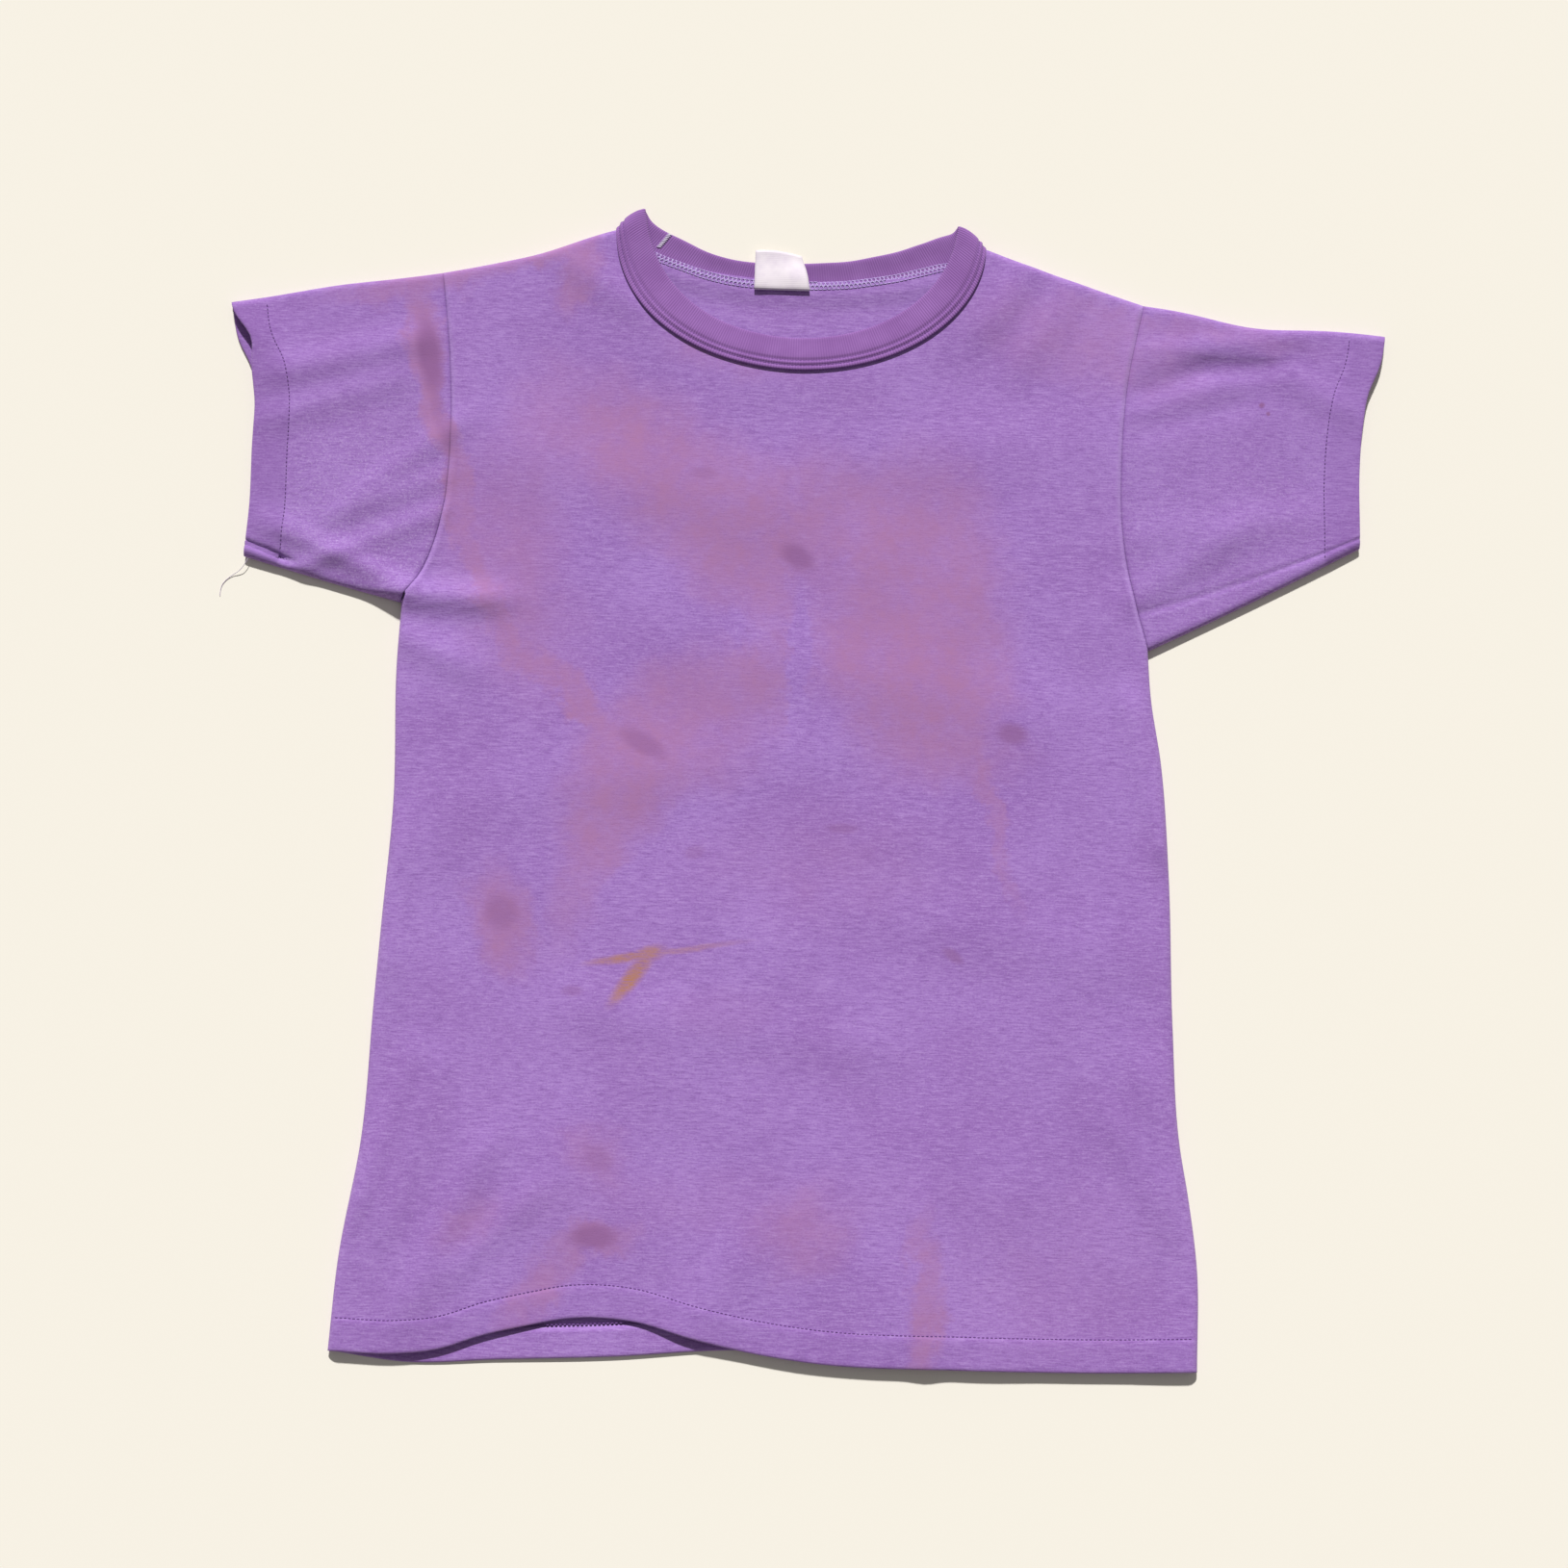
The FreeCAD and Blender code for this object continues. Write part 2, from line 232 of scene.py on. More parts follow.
def addNode(tree, kind, settings=None, values=None, links=None):
    # one shader node, with its properties, its sockets' values (a colour may be hex) and its links
    node = tree.nodes.new("ShaderNode" + kind)
    for key, value in (settings or {}).items():
        setattr(node, key, value)
    for key, value in {**(values or {}), **(links or {})}.items():
        if isinstance(value, bpy.types.NodeSocket):
            tree.links.new(value, node.inputs[key])
        else:
            node.inputs[key].default_value = linear(value) if isinstance(value, str) else value
    return node


def newMaterial(name, roughness, specular=0.2, sheen=0.0):
    material = bpy.data.materials.new(name)
    material.use_nodes = True
    shader = material.node_tree.nodes["Principled BSDF"]
    shader.inputs["Roughness"].default_value = roughness
    shader.inputs["Specular IOR Level"].default_value = specular
    shader.inputs["Sheen Weight"].default_value = sheen
    shader.inputs["Sheen Roughness"].default_value = 0.6
    return material, material.node_tree, shader


def addFloor():
    clearSelection()
    bpy.ops.mesh.primitive_plane_add(size=12)
    floor = bpy.context.object
    floor.name = "floor"
    # board in matt white wall paint, a little warm: no gloss, so it only shows the shadow
    material, _, shader = newMaterial("paintedBoard", 0.95, 0.1)
    shader.inputs["Base Color"].default_value = linear(light["floor"])
    floor.data.materials.append(material)


addCamera()
addLight()
addFloor()
bpy.context.scene.view_settings.view_transform = "Standard"
print("camera, light and floor ready")


# the shirt's outline, in millimetres; left and right are the wearer's, so right is at -X
bodyLow = boxMm("body_tube")[0]
ribLow, ribHigh = boxMm("neck_rib")
shoulderLineY = 337.0             # where the rib crosses the shoulder line
outline = {
    "cloth": 0.7,                 # thickness of one layer
    "rightEdge": [(-352, -260), (-300, -257.5), (-230, -248.5), (-150, -246.2), (-100, -244.5),
                  (-30, -242), (60, -245.2), (95, -244.5)],
    "leftEdge": [(-349, 244), (-290, 244), (-250, 239), (-220, 234), (-150, 229.8), (-60, 227.5),
                 (10, 222.6), (50, 216.5), (79, 214.5)],
    "rightArmhole": [(95, -244.5), (118, -232), (145, -224), (195, -220), (250, -223),
                     (310.5, -231)],
    "leftArmhole": [(79, 214.5), (112, 205.5), (142, 199.6), (200, 197.5), (255, 202),
                    (303, 211.5)],
    "shoulders": [(-231, 310.5), (-200, 317.5), (-165, 327), (-140, 337), (-122.5, 343)],
    "leftShoulder": [(112, 337), (135, 328.5), (165, 318.3), (190, 310), (211.5, 303)],
}
neck = {
    "x": (ribLow[0] + ribHigh[0]) / 2,
    "halfWidth": (ribHigh[0] - ribLow[0]) / 2,
    "y": shoulderLineY,
    "frontDrop": shoulderLineY - ribLow[1],
    "backDrop": 34.0,
    "lap": 8.0,                   # rib lapped over the cloth
    "peakY": ribHigh[1],
    "earInset": 18.5,
    "earRound": 2.0,              # the ears' outline swells, and their tips are rounded
    "frontRib": 22.0,
    "backRib": 20.0,
    "ribThickness": 1.7,
    "tilt": -0.0265,              # the neck lies a little askew, higher at its right ear
    "rise": 2.6,
    # the back band's free edge stands uneven
    "backEdge": [(-104, 0), (-80, 0.5), (-65, -2), (-50, -3), (-20, -1.5), (10, 0.5), (25, 1.2),
                 (40, 3), (55, 4.3), (70, 6), (85, 5), (94, 0)],
}
underarm = {"right": 95.0, "left": 79.0}


def neckShift(x, y):
    return (neck["rise"] + neck["tilt"] * (x - neck["x"])) * smooth(y, 280, 345)


def rightX(y):
    edge = curveThrough(outline["rightEdge"], y)
    armhole = curveThrough(outline["rightArmhole"], y)
    return np.where(np.asarray(y) < underarm["right"], edge, armhole)


def leftX(y):
    edge = curveThrough(outline["leftEdge"], y)
    armhole = curveThrough(outline["leftArmhole"], y)
    return np.where(np.asarray(y) < underarm["left"], edge, armhole)


# the front hem is drawn up in one wave near its right-hand corner; the back hem is almost straight
hem = {
    "width": 19.0,
    "front": [(-259, -352), (-222, -352.5), (-195, -349), (-172, -341), (-148, -335),
              (-120, -329.5),
              (-84, -330.5), (-48, -339.5), (-15, -346), (20, -350.5), (105, -352), (190, -351),
              (243, -349)],
    "back": [(-259, -352), (-215, -357), (-160, -354), (-95, -350.5), (-30, -345), (60, -346),
             (150, -347), (243, -349)],
    "liftAt": -128.0,
    "lift": -1.0,
    "liftWidth": 75.0,
    "liftReach": 75.0,
    "liftFrom": -335.0,           # the lift fades out above this height
}


# how high the cloth lies: soft ridges as (x1, y1, x2, y2, width, height)
ridges = [
    (-243, 99, -196, 98, 8, 3.2),       # pulled up at the right underarm
    (-240, 72, -212, 60, 9, 1.6),
    (-250, 108, -318, 138, 8, 2.0),     # right sleeve, along its lower fold
    (-230, 150, -300, 118, 6, 1.4),
    (-232, 172, -285, 150, 7, 1.2),
    (-222, 205, -268, 168, 8, 1.3),
    (-252, 262, -318, 243, 10, 1.8),
    (-262, 236, -326, 212, 9, 1.2),
    (212, 246, 248, 260, 6, -1.5),      # left sleeve, dragged from the shoulder: two valleys
    (246, 261, 290, 264, 5, -1.7),
    (222, 272, 300, 283, 8, 1.0),
    (216, 222, 268, 238, 7, -1.0),
    (214, 118, 262, 150, 9, 1.3),
    (216, 150, 300, 165, 12, 0.9),
    (296, 262, 332, 240, 9, 1.1),
    (-150, 318, -118, 296, 10, 1.4),    # shoulders, beside the neck
    (136, 318, 118, 292, 10, 1.6),
    (165, 308, 140, 270, 12, 1.2),
    (205, 40, 221, -40, 7, 1.8),        # left side
    (216, -185, 226, -240, 9, 1.5),
    (198, -215, 224, -262, 10, 1.1),
    (-236, -60, -236, -120, 9, 1.4),    # right side
    (-222, -185, -244, -262, 8, 1.4),
    (-205, -190, -228, -275, 8, 1.1),
    (-178, -240, -212, -318, 9, 1.3),
    (-148, -262, -185, -300, 8, 0.9),
    (-118, -318, -132, -250, 22, 0.5),  # the hem's wave runs up the front
    (-60, -342, -30, -300, 18, 1.1),
    (86, -350, 82, -265, 9, 0.9),
    (-110, -150, 40, -168, 16, 0.7),    # across the belly
    (-160, -20, -20, 6, 22, 0.8),
    (20, 60, 150, 38, 24, 0.8),
    (-185, 190, -60, 168, 26, 0.8),
    (40, 196, 168, 214, 24, 0.8),
    (60, -90, 190, -110, 20, 0.7),
]
lie = {
    "front": 5.4,          # outer face of the front layer
    "back": 0.15,          # outer face of the back layer
    "fold": 2.7,           # height of the folded edges
    "foldRadius": 4.6,
    "ridgeGain": 1.5,      # all ridges are raised by this
}


def ridgeHeight(x, y):
    total = np.zeros_like(x)
    for x1, y1, x2, y2, width, height in ridges:
        along = np.array([x2 - x1, y2 - y1], float)
        length = np.hypot(*along)
        along /= length
        share = (x - x1) * along[0] + (y - y1) * along[1]
        off = np.abs((x - x1) * along[1] - (y - y1) * along[0])
        beyond = np.maximum(np.maximum(-share, share - length), 0)
        fade = np.exp(-(off / width) ** 2 - (beyond / (2.2 * width)) ** 2)
        total += lie["ridgeGain"] * height * fade
    return total


def slowWaves(x, y):
    # the cloth never lies dead flat: three crossing slow waves
    return (0.55 * np.sin(x / 41 + 0.8 * np.sin(y / 67)) * np.sin(y / 53 + 1.1)
            + 0.35 * np.sin((x + 1.7 * y) / 29 + 2.0) * np.sin((x - y) / 83)
            + 0.22 * np.sin((2.1 * x - y) / 23) * np.sin((x + y) / 47 + 0.6))


def ellipseGap(x, y, centreY, halfWidth, drop):
    # distance outside (+) or inside (-) a neckline
    y = y - neckShift(x, y)
    dx = (x - neck["x"]) / halfWidth
    dy = (y - centreY) / drop
    radius = np.sqrt(dx**2 + dy**2)
    steep = np.sqrt((dx / halfWidth) ** 2 + (dy / drop) ** 2)
    return (radius - 1) * radius / np.maximum(steep, 1e-6)


def frontHeight(x, y):
    x = np.asarray(x, float)
    y = np.asarray(y, float)
    lift = np.exp(-((x - hem["liftAt"]) / hem["liftWidth"]) ** 2)
    lift = lift * hem["lift"] * (1 - smooth(y, hem["liftFrom"], hem["liftFrom"] + hem["liftReach"]))
    gap = ellipseGap(x, y, neck["y"], neck["halfWidth"], neck["frontDrop"])
    neckRise = 1.2 * np.exp(-(gap / 22) ** 2)
    return lie["front"] + ridgeHeight(x, y) + slowWaves(x, y) + lift + neckRise


def backHeight(x, y):
    x = np.asarray(x, float)
    y = np.asarray(y, float)
    ripple = 0.35 * (1 + np.sin(x / 37 + 1.3) * np.sin(y / 45)) * (1 - smooth(y, 240, 280))
    gap = ellipseGap(x, y, neck["y"], neck["halfWidth"], neck["backDrop"])
    overRib = (neck["ribThickness"] + 0.1) * (1 - smooth(gap, 0.5, 9)) * smooth(y, 270, 296)
    return lie["back"] + ripple + overRib


def foldLines():
    # every line along which the front layer turns over into the back one
    lines = []
    rightY = np.linspace(-357, underarm["right"], 60)
    lines.append(np.stack([rightX(rightY - 1e-6), rightY], 1))
    leftY = np.linspace(-357, underarm["left"], 60)
    lines.append(np.stack([leftX(leftY - 1e-6), leftY], 1))
    for way, side in sleeves.items():
        share = np.linspace(0, 1, 24)
        lines.append(sleeveEdge(side, share, 0.0))
        lines.append(sleeveEdge(side, share, 1.0))
    for line in (outline["shoulders"], outline["leftShoulder"]):
        x = np.linspace(line[0][0], line[-1][0], 24)
        lines.append(np.stack([x, curveThrough(line, x)], 1))
    for way in (-1, 1):
        lines.append(np.array([neckCorner(way), peak(way)]))
    return lines


def shifted(x, y):
    return (x, y + float(neckShift(x, y)))


def neckCorner(way):
    return shifted(neck["x"] + way * neck["halfWidth"], neck["y"])


def peak(way):
    return shifted(neck["x"] + way * (neck["halfWidth"] - neck["earInset"]), neck["peakY"])


def foldDistance(x, y):
    return distanceTo(folds, x, y)


def rounded(distance, radius):
    left = 1 - np.clip(distance / radius, 0, 1)
    return np.sqrt(1 - left**2)


def layerZ(x, y, atFold, front=True, inset=0.0):
    # outer face of a layer; inset puts a turned-up hem inside it
    radius = lie["foldRadius"]
    turn = np.where(atFold, 0.0, rounded(foldDistance(x, y), radius))
    middle = lie["fold"]
    if front:
        return middle + (frontHeight(x, y) - inset - middle) * turn
    return middle - (middle - backHeight(x, y) - inset) * turn


# the sleeves' outlines: -1 is the wearer's right sleeve, 1 the left
sleeveRightLow = boxMm("sleeve_right")[0]
sleeveLeftHigh = boxMm("sleeve_left")[1]
sleeves = {
    -1: {
        "way": -1, "armhole": outline["rightArmhole"],
        "low": (-343.5, 121.5), "top": (sleeveRightLow[0], 286.5),
        "opening": [(121, -343.5), (150, -342), (190, -343), (225, -344), (245, -348.5),
                    (262, -357.5), (286.5, sleeveRightLow[0])],
        "frontInset": 9.0, "frontInsetAt": 262.0,
        "lowBulge": -0.5, "topBulge": 1.5, "topBulgeAt": 0.5,
        "crease": {"at": 8.5, "slope": -0.13, "reach": 36.0, "depth": 2.6, "width": 1.8},
        "groove": 0.65, "fluff": 0.5,
    },
    1: {
        "way": 1, "armhole": outline["leftArmhole"],
        "low": (345.5, 148.5), "top": (sleeveLeftHigh[0], 287.5),
        "opening": [(148.5, 345.5), (165, 345.5), (195, 345.7), (225, 348), (248, 352), (268, 360),
                    (287.5, sleeveLeftHigh[0])],
        "frontInset": 0.0, "frontInsetAt": 263.0,
        "lowBulge": -1.0, "topBulge": -5.5, "topBulgeAt": 0.45,
        "crease": {"at": 6.0, "slope": 0.06, "reach": 400.0, "depth": 0.9, "width": 0.9},
        "groove": 0.45, "fluff": 0.3,
    },
}


def sleevePoint(side, along, across, frontInset=0.0):
    # along runs from the armhole to the opening, across from the lower fold to the upper one
    armhole = side["armhole"]
    startY = armhole[0][0] + (armhole[-1][0] - armhole[0][0]) * across
    startX = curveThrough(armhole, startY)
    endY = side["low"][1] + (side["top"][1] - side["low"][1]) * across
    endX = curveThrough(side["opening"], endY)
    near = np.exp(-((endY - side["frontInsetAt"]) / 13) ** 2)
    x = startX + (endX - startX) * along
    x = x - side["way"] * frontInset * near * smooth(along, 0.78, 1.0)
    y = startY + (endY - startY) * along
    bulge = np.sin(np.pi * np.clip(along, 0, 1))
    y = y + side["lowBulge"] * bulge * (1 - across) ** 2
    top = np.exp(-((along - side["topBulgeAt"]) / 0.28) ** 2) * bulge
    y = y + side["topBulge"] * top * across**3
    return x, y


def sleeveEdge(side, share, across):
    x, y = sleevePoint(side, share, np.full_like(share, across))
    return np.stack([x, y], 1)


folds = foldLines()


knit = {
    "purple": "#a67cc6", "purpleDeep": "#9d71bb", "dusty": "#ab76a6",
    "rust": "#b07a5e", "darkSpot": "#905f95",
    "streakDark": "#8a5ea8", "streakPale": "#b892d4", "fuzzDark": "#8b5da9", "fuzzPale": "#b995d3",
    # the last two colours below: a painted highlight on the ridges beside the armhole seams, and
    # painted shade at the sleeves' armhole seams that also darkens the hem bands and the sleeves
    "fleck": "#c6a9dc", "seamHighlight": "#bd9bd8", "seamShadeAndDarkening": "#74498f",
    "streakLength": 7.0, "streakHeight": 0.9,     # mm; real courses are 0.5 mm, too fine to show
}
stains = [
    # x, y, half length, half width, turn in degrees, strength, softness: faded marks on the front
    (-240, 262, 30, 11, -76, 1.00, 0.50), (-231, 218, 34, 8, -72, 0.95, 0.55),
    (-212, 160, 42, 7, -77, 0.85, 0.55), (-193, 104, 34, 7, -67, 0.80, 0.55),
    (-161, 61, 30, 8, -36, 0.85, 0.60), (-130, 36, 22, 8, -50, 0.90, 0.60),
    (-104, 18, 26, 8, -18, 0.95, 0.60), (-178, 116, 66, 30, -72, 0.50, 0.75),
    (-165, 188, 48, 20, -84, 0.30, 0.80), (-80, 178, 88, 36, -36, 0.80, 0.60),
    (-100, 196, 34, 22, -30, 0.60, 0.80), (-36, 128, 40, 26, -40, 0.70, 0.70),
    (8, 158, 48, 34, -10, 0.75, 0.70), (72, 100, 92, 50, 88, 0.85, 0.40),
    (86, 52, 40, 34, 20, 0.95, 0.60), (40, 76, 30, 26, 0, 0.75, 0.70),
    (-45, 46, 44, 26, 10, 0.70, 0.70), (-20, 60, 18, 30, 0, 0.55, 0.80),
    (-98, 2, 50, 30, 58, 0.85, 0.60), (-112, -32, 34, 18, 66, 0.75, 0.70),
    (-125, -70, 40, 12, 72, 0.50, 0.80), (-60, 2, 34, 18, 10, 0.45, 0.80),
    (98, 10, 36, 16, -4, 0.50, 0.70), (121, -22, 52, 5, -78, 0.60, 0.60),
    (-173, -98, 28, 15, -70, 0.90, 0.60), (-110, -237, 18, 13, -30, 0.45, 0.70),
    (-181, -277, 19, 12, 50, 0.45, 0.70), (-136, -312, 38, 12, 52, 0.70, 0.60),
    (-108, -283, 18, 10, 5, 0.75, 0.60), (14, -279, 25, 23, 0, 0.55, 0.70),
    (86, -312, 42, 9, 92, 0.85, 0.55), (-48, 268, 36, 16, -12, 0.45, 0.80),
    (-146, 310, 24, 12, 80, 0.80, 0.60), (-166, 324, 30, 6, 18, 0.80, 0.70),
    (176, 276, 58, 24, -14, 0.45, 0.80), (20, -60, 60, 30, 0, 0.18, 0.85),
    (-245, 302, 48, 9, 12, 0.70, 0.70), (240, 290, 60, 8, -8, 0.35, 0.80),
    (-40, -262, 110, 16, 4, 0.12, 0.85), (160, -300, 60, 40, 20, 0.15, 0.85),
]
cleanMarks = [(0, 62, 46, 6.5, 90, 0.60, 0.70), (-28, 80, 20, 7, -50, 0.35, 0.80)]
darkSpots = [
    (-2, 131, 11, 6.5, -30, 0.75), (132, 24, 9, 6, -10, 0.70), (-92, 12, 15, 6, -28, 0.60),
    (-109, -283, 13, 7, 5, 0.75), (-108, -238, 9, 6, -35, 0.35), (98, -112, 7, 3, -30, 0.50),
    (-128, -140, 6, 3, 0, 0.35), (30, -37, 9, 3, 0, 0.35), (-59, -55, 6, 4, 20, 0.30),
    (-62, 183, 9, 4, 0, 0.30), (-173, -94, 10, 9, -60, 0.50), (285, 239, 1.8, 1.8, 0, 0.90),
    (289, 234, 1.2, 1.2, 0, 0.90), (-236, 254, 24, 7, -78, 0.85), (-226, 214, 22, 5, -72, 0.35),
    (-40, -150, 30, 14, 0, 0.15),
]
rustMarks = [
    (-97, -119.5, 20, 2.4, 9, 0.85), (-93, -131, 17, 4.4, 52, 1.0), (-66, -113.5, 34, 1.8, 9, 0.45),
    (-84, -117, 10, 4.0, 20, 0.8),
]


def ovalMask(tree, coordinates, x, y, halfLength, halfWidth, turn, strength, soft=0.45):
    place = addNode(tree, "Mapping", {"vector_type": "TEXTURE"},
                    {"Location": (x, y, 0), "Rotation": (0, 0, math.radians(turn)),
                     "Scale": (halfLength, halfWidth, 1)}, {"Vector": coordinates})
    size = addNode(tree, "VectorMath", {"operation": "LENGTH"}, links={0: place.outputs[0]})
    fade = addNode(tree, "MapRange", {"interpolation_type": "SMOOTHSTEP"},
                   {"From Min": 1 + soft, "From Max": 1 - soft, "To Min": 0, "To Max": strength},
                   {"Value": size.outputs["Value"]})
    return fade.outputs[0]


def together(tree, masks, operation="MAXIMUM"):
    whole = masks[0]
    for mask in masks[1:]:
        if operation == "screen":
            # 1 - (1 - a)(1 - b), so that marks blend where they cross
            product = addNode(tree, "Math", {"operation": "MULTIPLY"}, links={0: whole, 1: mask})
            total = addNode(tree, "Math", {"operation": "ADD"}, links={0: whole, 1: mask})
            whole = addNode(tree, "Math", {"operation": "SUBTRACT", "use_clamp": True},
                            links={0: total.outputs[0], 1: product.outputs[0]}).outputs[0]
            continue
        whole = addNode(tree, "Math", {"operation": operation, "use_clamp": True},
                        links={0: whole, 1: mask}).outputs[0]
    return whole


mixColour = {"data_type": "RGBA"}      # sockets: 0 the share, 6 the colour below, 7 the one above


def tinted(tree, below, above, pattern, low, high, least=0.0, most=1.0):
    # lays one colour over another, the share running as the pattern goes from low to high
    share = addNode(tree, "MapRange", values={"Value": pattern, "From Min": low, "From Max": high,
                                              "To Min": least, "To Max": most})
    return addNode(tree, "Mix", mixColour, {0: share.outputs[0], 6: below, 7: above}).outputs[2]


def placesInMm(tree, heightScale=1000):
    where = addNode(tree, "TexCoord").outputs["Object"]
    return addNode(tree, "VectorMath", {"operation": "MULTIPLY"},
                   {0: where, 1: (1000, 1000, heightScale)}).outputs[0]


def pushedAbout(tree, flat, push, reach):
    # the same places, each moved by up to half of reach, so that marks get uneven edges
    moves = addNode(tree, "VectorMath", {"operation": "MULTIPLY_ADD"},
                    {0: push, 1: (reach, reach, 0), 2: (-reach / 2, -reach / 2, 0)})
    moved = addNode(tree, "VectorMath", {"operation": "ADD"}, {0: flat, 1: moves.outputs[0]})
    return addNode(tree, "VectorMath", {"operation": "MULTIPLY"},
                   {0: moved.outputs[0], 1: (1, 1, 0)}).outputs[0]


def colourAndRelief(tree, shader, colour, height, strength, depth):
    # depth is in metres
    tree.links.new(colour, shader.inputs["Base Color"])
    bump = addNode(tree, "Bump", values={"Strength": strength, "Distance": depth, "Height": height})
    tree.links.new(bump.outputs[0], shader.inputs["Normal"])


def jersey(name, stained):
    # cotton single jersey, washed thin: matt, softly furry, with short streaks along its courses
    material, tree, shader = newMaterial(name, 0.92, 0.15, 0.12)
    flat = placesInMm(tree, 0)
    deep = placesInMm(tree)
    cloud = addNode(tree, "TexNoise", values={"Scale": 0.012, "Detail": 3.0, "Roughness": 0.6},
                    links={"Vector": deep})          # dye washed out in patches of some 80 mm
    base = tinted(tree, knit["purple"], knit["purpleDeep"], cloud.outputs[0], 0.38, 0.62)
    stretched = addNode(tree, "Mapping",
                        values={"Scale": (1 / knit["streakLength"], 1 / knit["streakHeight"], 0.6)},
                        links={"Vector": deep}).outputs[0]
    streak = addNode(tree, "TexNoise", values={"Scale": 1.0, "Detail": 2.0, "Roughness": 0.7},
                     links={"Vector": stretched})
    # loose fibres are 0.02 mm thick; they are drawn as tufts of 1.1 mm, coarse enough to show
    grain = addNode(tree, "TexNoise", values={"Scale": 0.9, "Detail": 2.0, "Roughness": 0.6},
                    links={"Vector": deep})
    colour = tinted(tree, base, knit["streakDark"], streak.outputs[0], 0.30, 0.50, 0.75, 0.0)
    colour = tinted(tree, colour, knit["streakPale"], streak.outputs[0], 0.52, 0.72, 0.0, 0.75)
    colour = tinted(tree, colour, knit["fuzzPale"], grain.outputs[0], 0.56, 0.74, 0.0, 0.55)
    colour = tinted(tree, colour, knit["fuzzDark"], grain.outputs[0], 0.44, 0.26, 0.0, 0.55)
    # pills of fluff, 1.3 mm apart, where the cloth has rubbed
    pilled = addNode(tree, "Attribute", {"attribute_name": "pilled"}).outputs["Fac"]
    flecks = addNode(tree, "TexNoise", values={"Scale": 0.75, "Detail": 3.0, "Roughness": 0.8},
                     links={"Vector": deep})
    pills = addNode(tree, "MapRange", values={"From Min": 0.52, "From Max": 0.66},
                    links={"Value": flecks.outputs[0]})
    fleck = addNode(tree, "Math", {"operation": "MULTIPLY"},
                    links={0: pills.outputs[0], 1: pilled}).outputs[0]
    colour = addNode(tree, "Mix", mixColour, {0: fleck, 6: colour, 7: knit["fleck"]}).outputs[2]
    # painted light: above zero a painted highlight beside the armhole seams; below zero painted
    # shade at the sleeves' armhole seams, and a darker tone on the hem bands and the sleeves
    seamLightAndDarkening = addNode(tree, "Attribute", {"attribute_name": "seamLightAndDarkening"}).outputs["Fac"]
    colour = tinted(tree, colour, knit["seamHighlight"], seamLightAndDarkening, 0.0, 1.0, 0.0, 0.6)
    colour = tinted(tree, colour, knit["seamShadeAndDarkening"], seamLightAndDarkening, 0.0, -1.0, 0.0, 0.9)
    if stained:
        # the stains' edges wander in waves of some 33 mm, their strength in patches of 20 mm
        shift = addNode(tree, "TexNoise", values={"Scale": 0.03, "Detail": 6.0, "Roughness": 0.72},
                        links={"Vector": flat}).outputs["Color"]
        torn = pushedAbout(tree, flat, shift, 44)
        mask = together(tree, [ovalMask(tree, torn, *mark) for mark in stains], "screen")
        clean = together(tree, [ovalMask(tree, torn, *mark) for mark in cleanMarks])
        mask = addNode(tree, "Math", {"operation": "SUBTRACT", "use_clamp": True},
                       links={0: mask, 1: clean}).outputs[0]
        patchy = addNode(tree, "TexNoise", values={"Scale": 0.05, "Detail": 7.0, "Roughness": 0.7},
                         links={"Vector": flat})
        uneven = addNode(tree, "MapRange", values={"From Min": 0.30, "From Max": 0.66,
                                                   "To Min": 0.40, "To Max": 1.05},
                         links={"Value": patchy.outputs[0]})
        mask = addNode(tree, "Math", {"operation": "MULTIPLY"},
                       links={0: mask, 1: uneven.outputs[0]}).outputs[0]
        colour = addNode(tree, "Mix", mixColour, {0: mask, 6: colour, 7: knit["dusty"]}).outputs[2]
        near = pushedAbout(tree, flat, shift, 7)
        spots = together(tree, [ovalMask(tree, near, *spot, soft=0.5) for spot in darkSpots])
        colour = addNode(tree, "Mix", mixColour,
                         {0: spots, 6: colour, 7: knit["darkSpot"]}).outputs[2]
        rust = together(tree, [ovalMask(tree, near, *mark, soft=0.6) for mark in rustMarks])
        broken = addNode(tree, "MapRange", values={"From Min": 0.30, "From Max": 0.60,
                                                   "To Min": 0.35, "To Max": 1.0},
                         links={"Value": streak.outputs[0]})
        rust = addNode(tree, "Math", {"operation": "MULTIPLY"},
                       links={0: rust, 1: broken.outputs[0]}).outputs[0]
        colour = addNode(tree, "Mix", mixColour, {0: rust, 6: colour, 7: knit["rust"]}).outputs[2]
    height = together(tree, [streak.outputs[0], grain.outputs[0], fleck], "ADD")
    colourAndRelief(tree, shader, colour, height, 0.35, 0.00035)
    return material


def ribKnit():
    # one-and-one rib in cotton: matt, fine cords across the band, a shade darker than the jersey
    material, tree, shader = newMaterial("ribKnit", 0.9, 0.15, 0.12)
    band = addNode(tree, "UVMap", {"uv_map": "band"}).outputs[0]
    cords = addNode(tree, "TexWave",
                    {"wave_type": "BANDS", "bands_direction": "X", "wave_profile": "SIN"},
                    {"Scale": 1.0, "Distortion": 0.25, "Detail": 1.0, "Detail Scale": 0.6},
                    {"Vector": band}).outputs[0]     # the band's map is scaled to the cords' pitch
    cloud = addNode(tree, "TexNoise", values={"Scale": 0.05, "Detail": 4.0, "Roughness": 0.6},
                    links={"Vector": placesInMm(tree)})        # patches of 20 mm
    colour = tinted(tree, "#9a6bb0", "#9061a5", cloud.outputs[0], 0.35, 0.65)
    # painted shade: the valleys between the cords are darkened
    colour = tinted(tree, colour, "#764890", cords, 0.0, 0.55, 0.45, 0.0)
    colourAndRelief(tree, shader, colour, cords, 0.5, 0.0004)
    return material


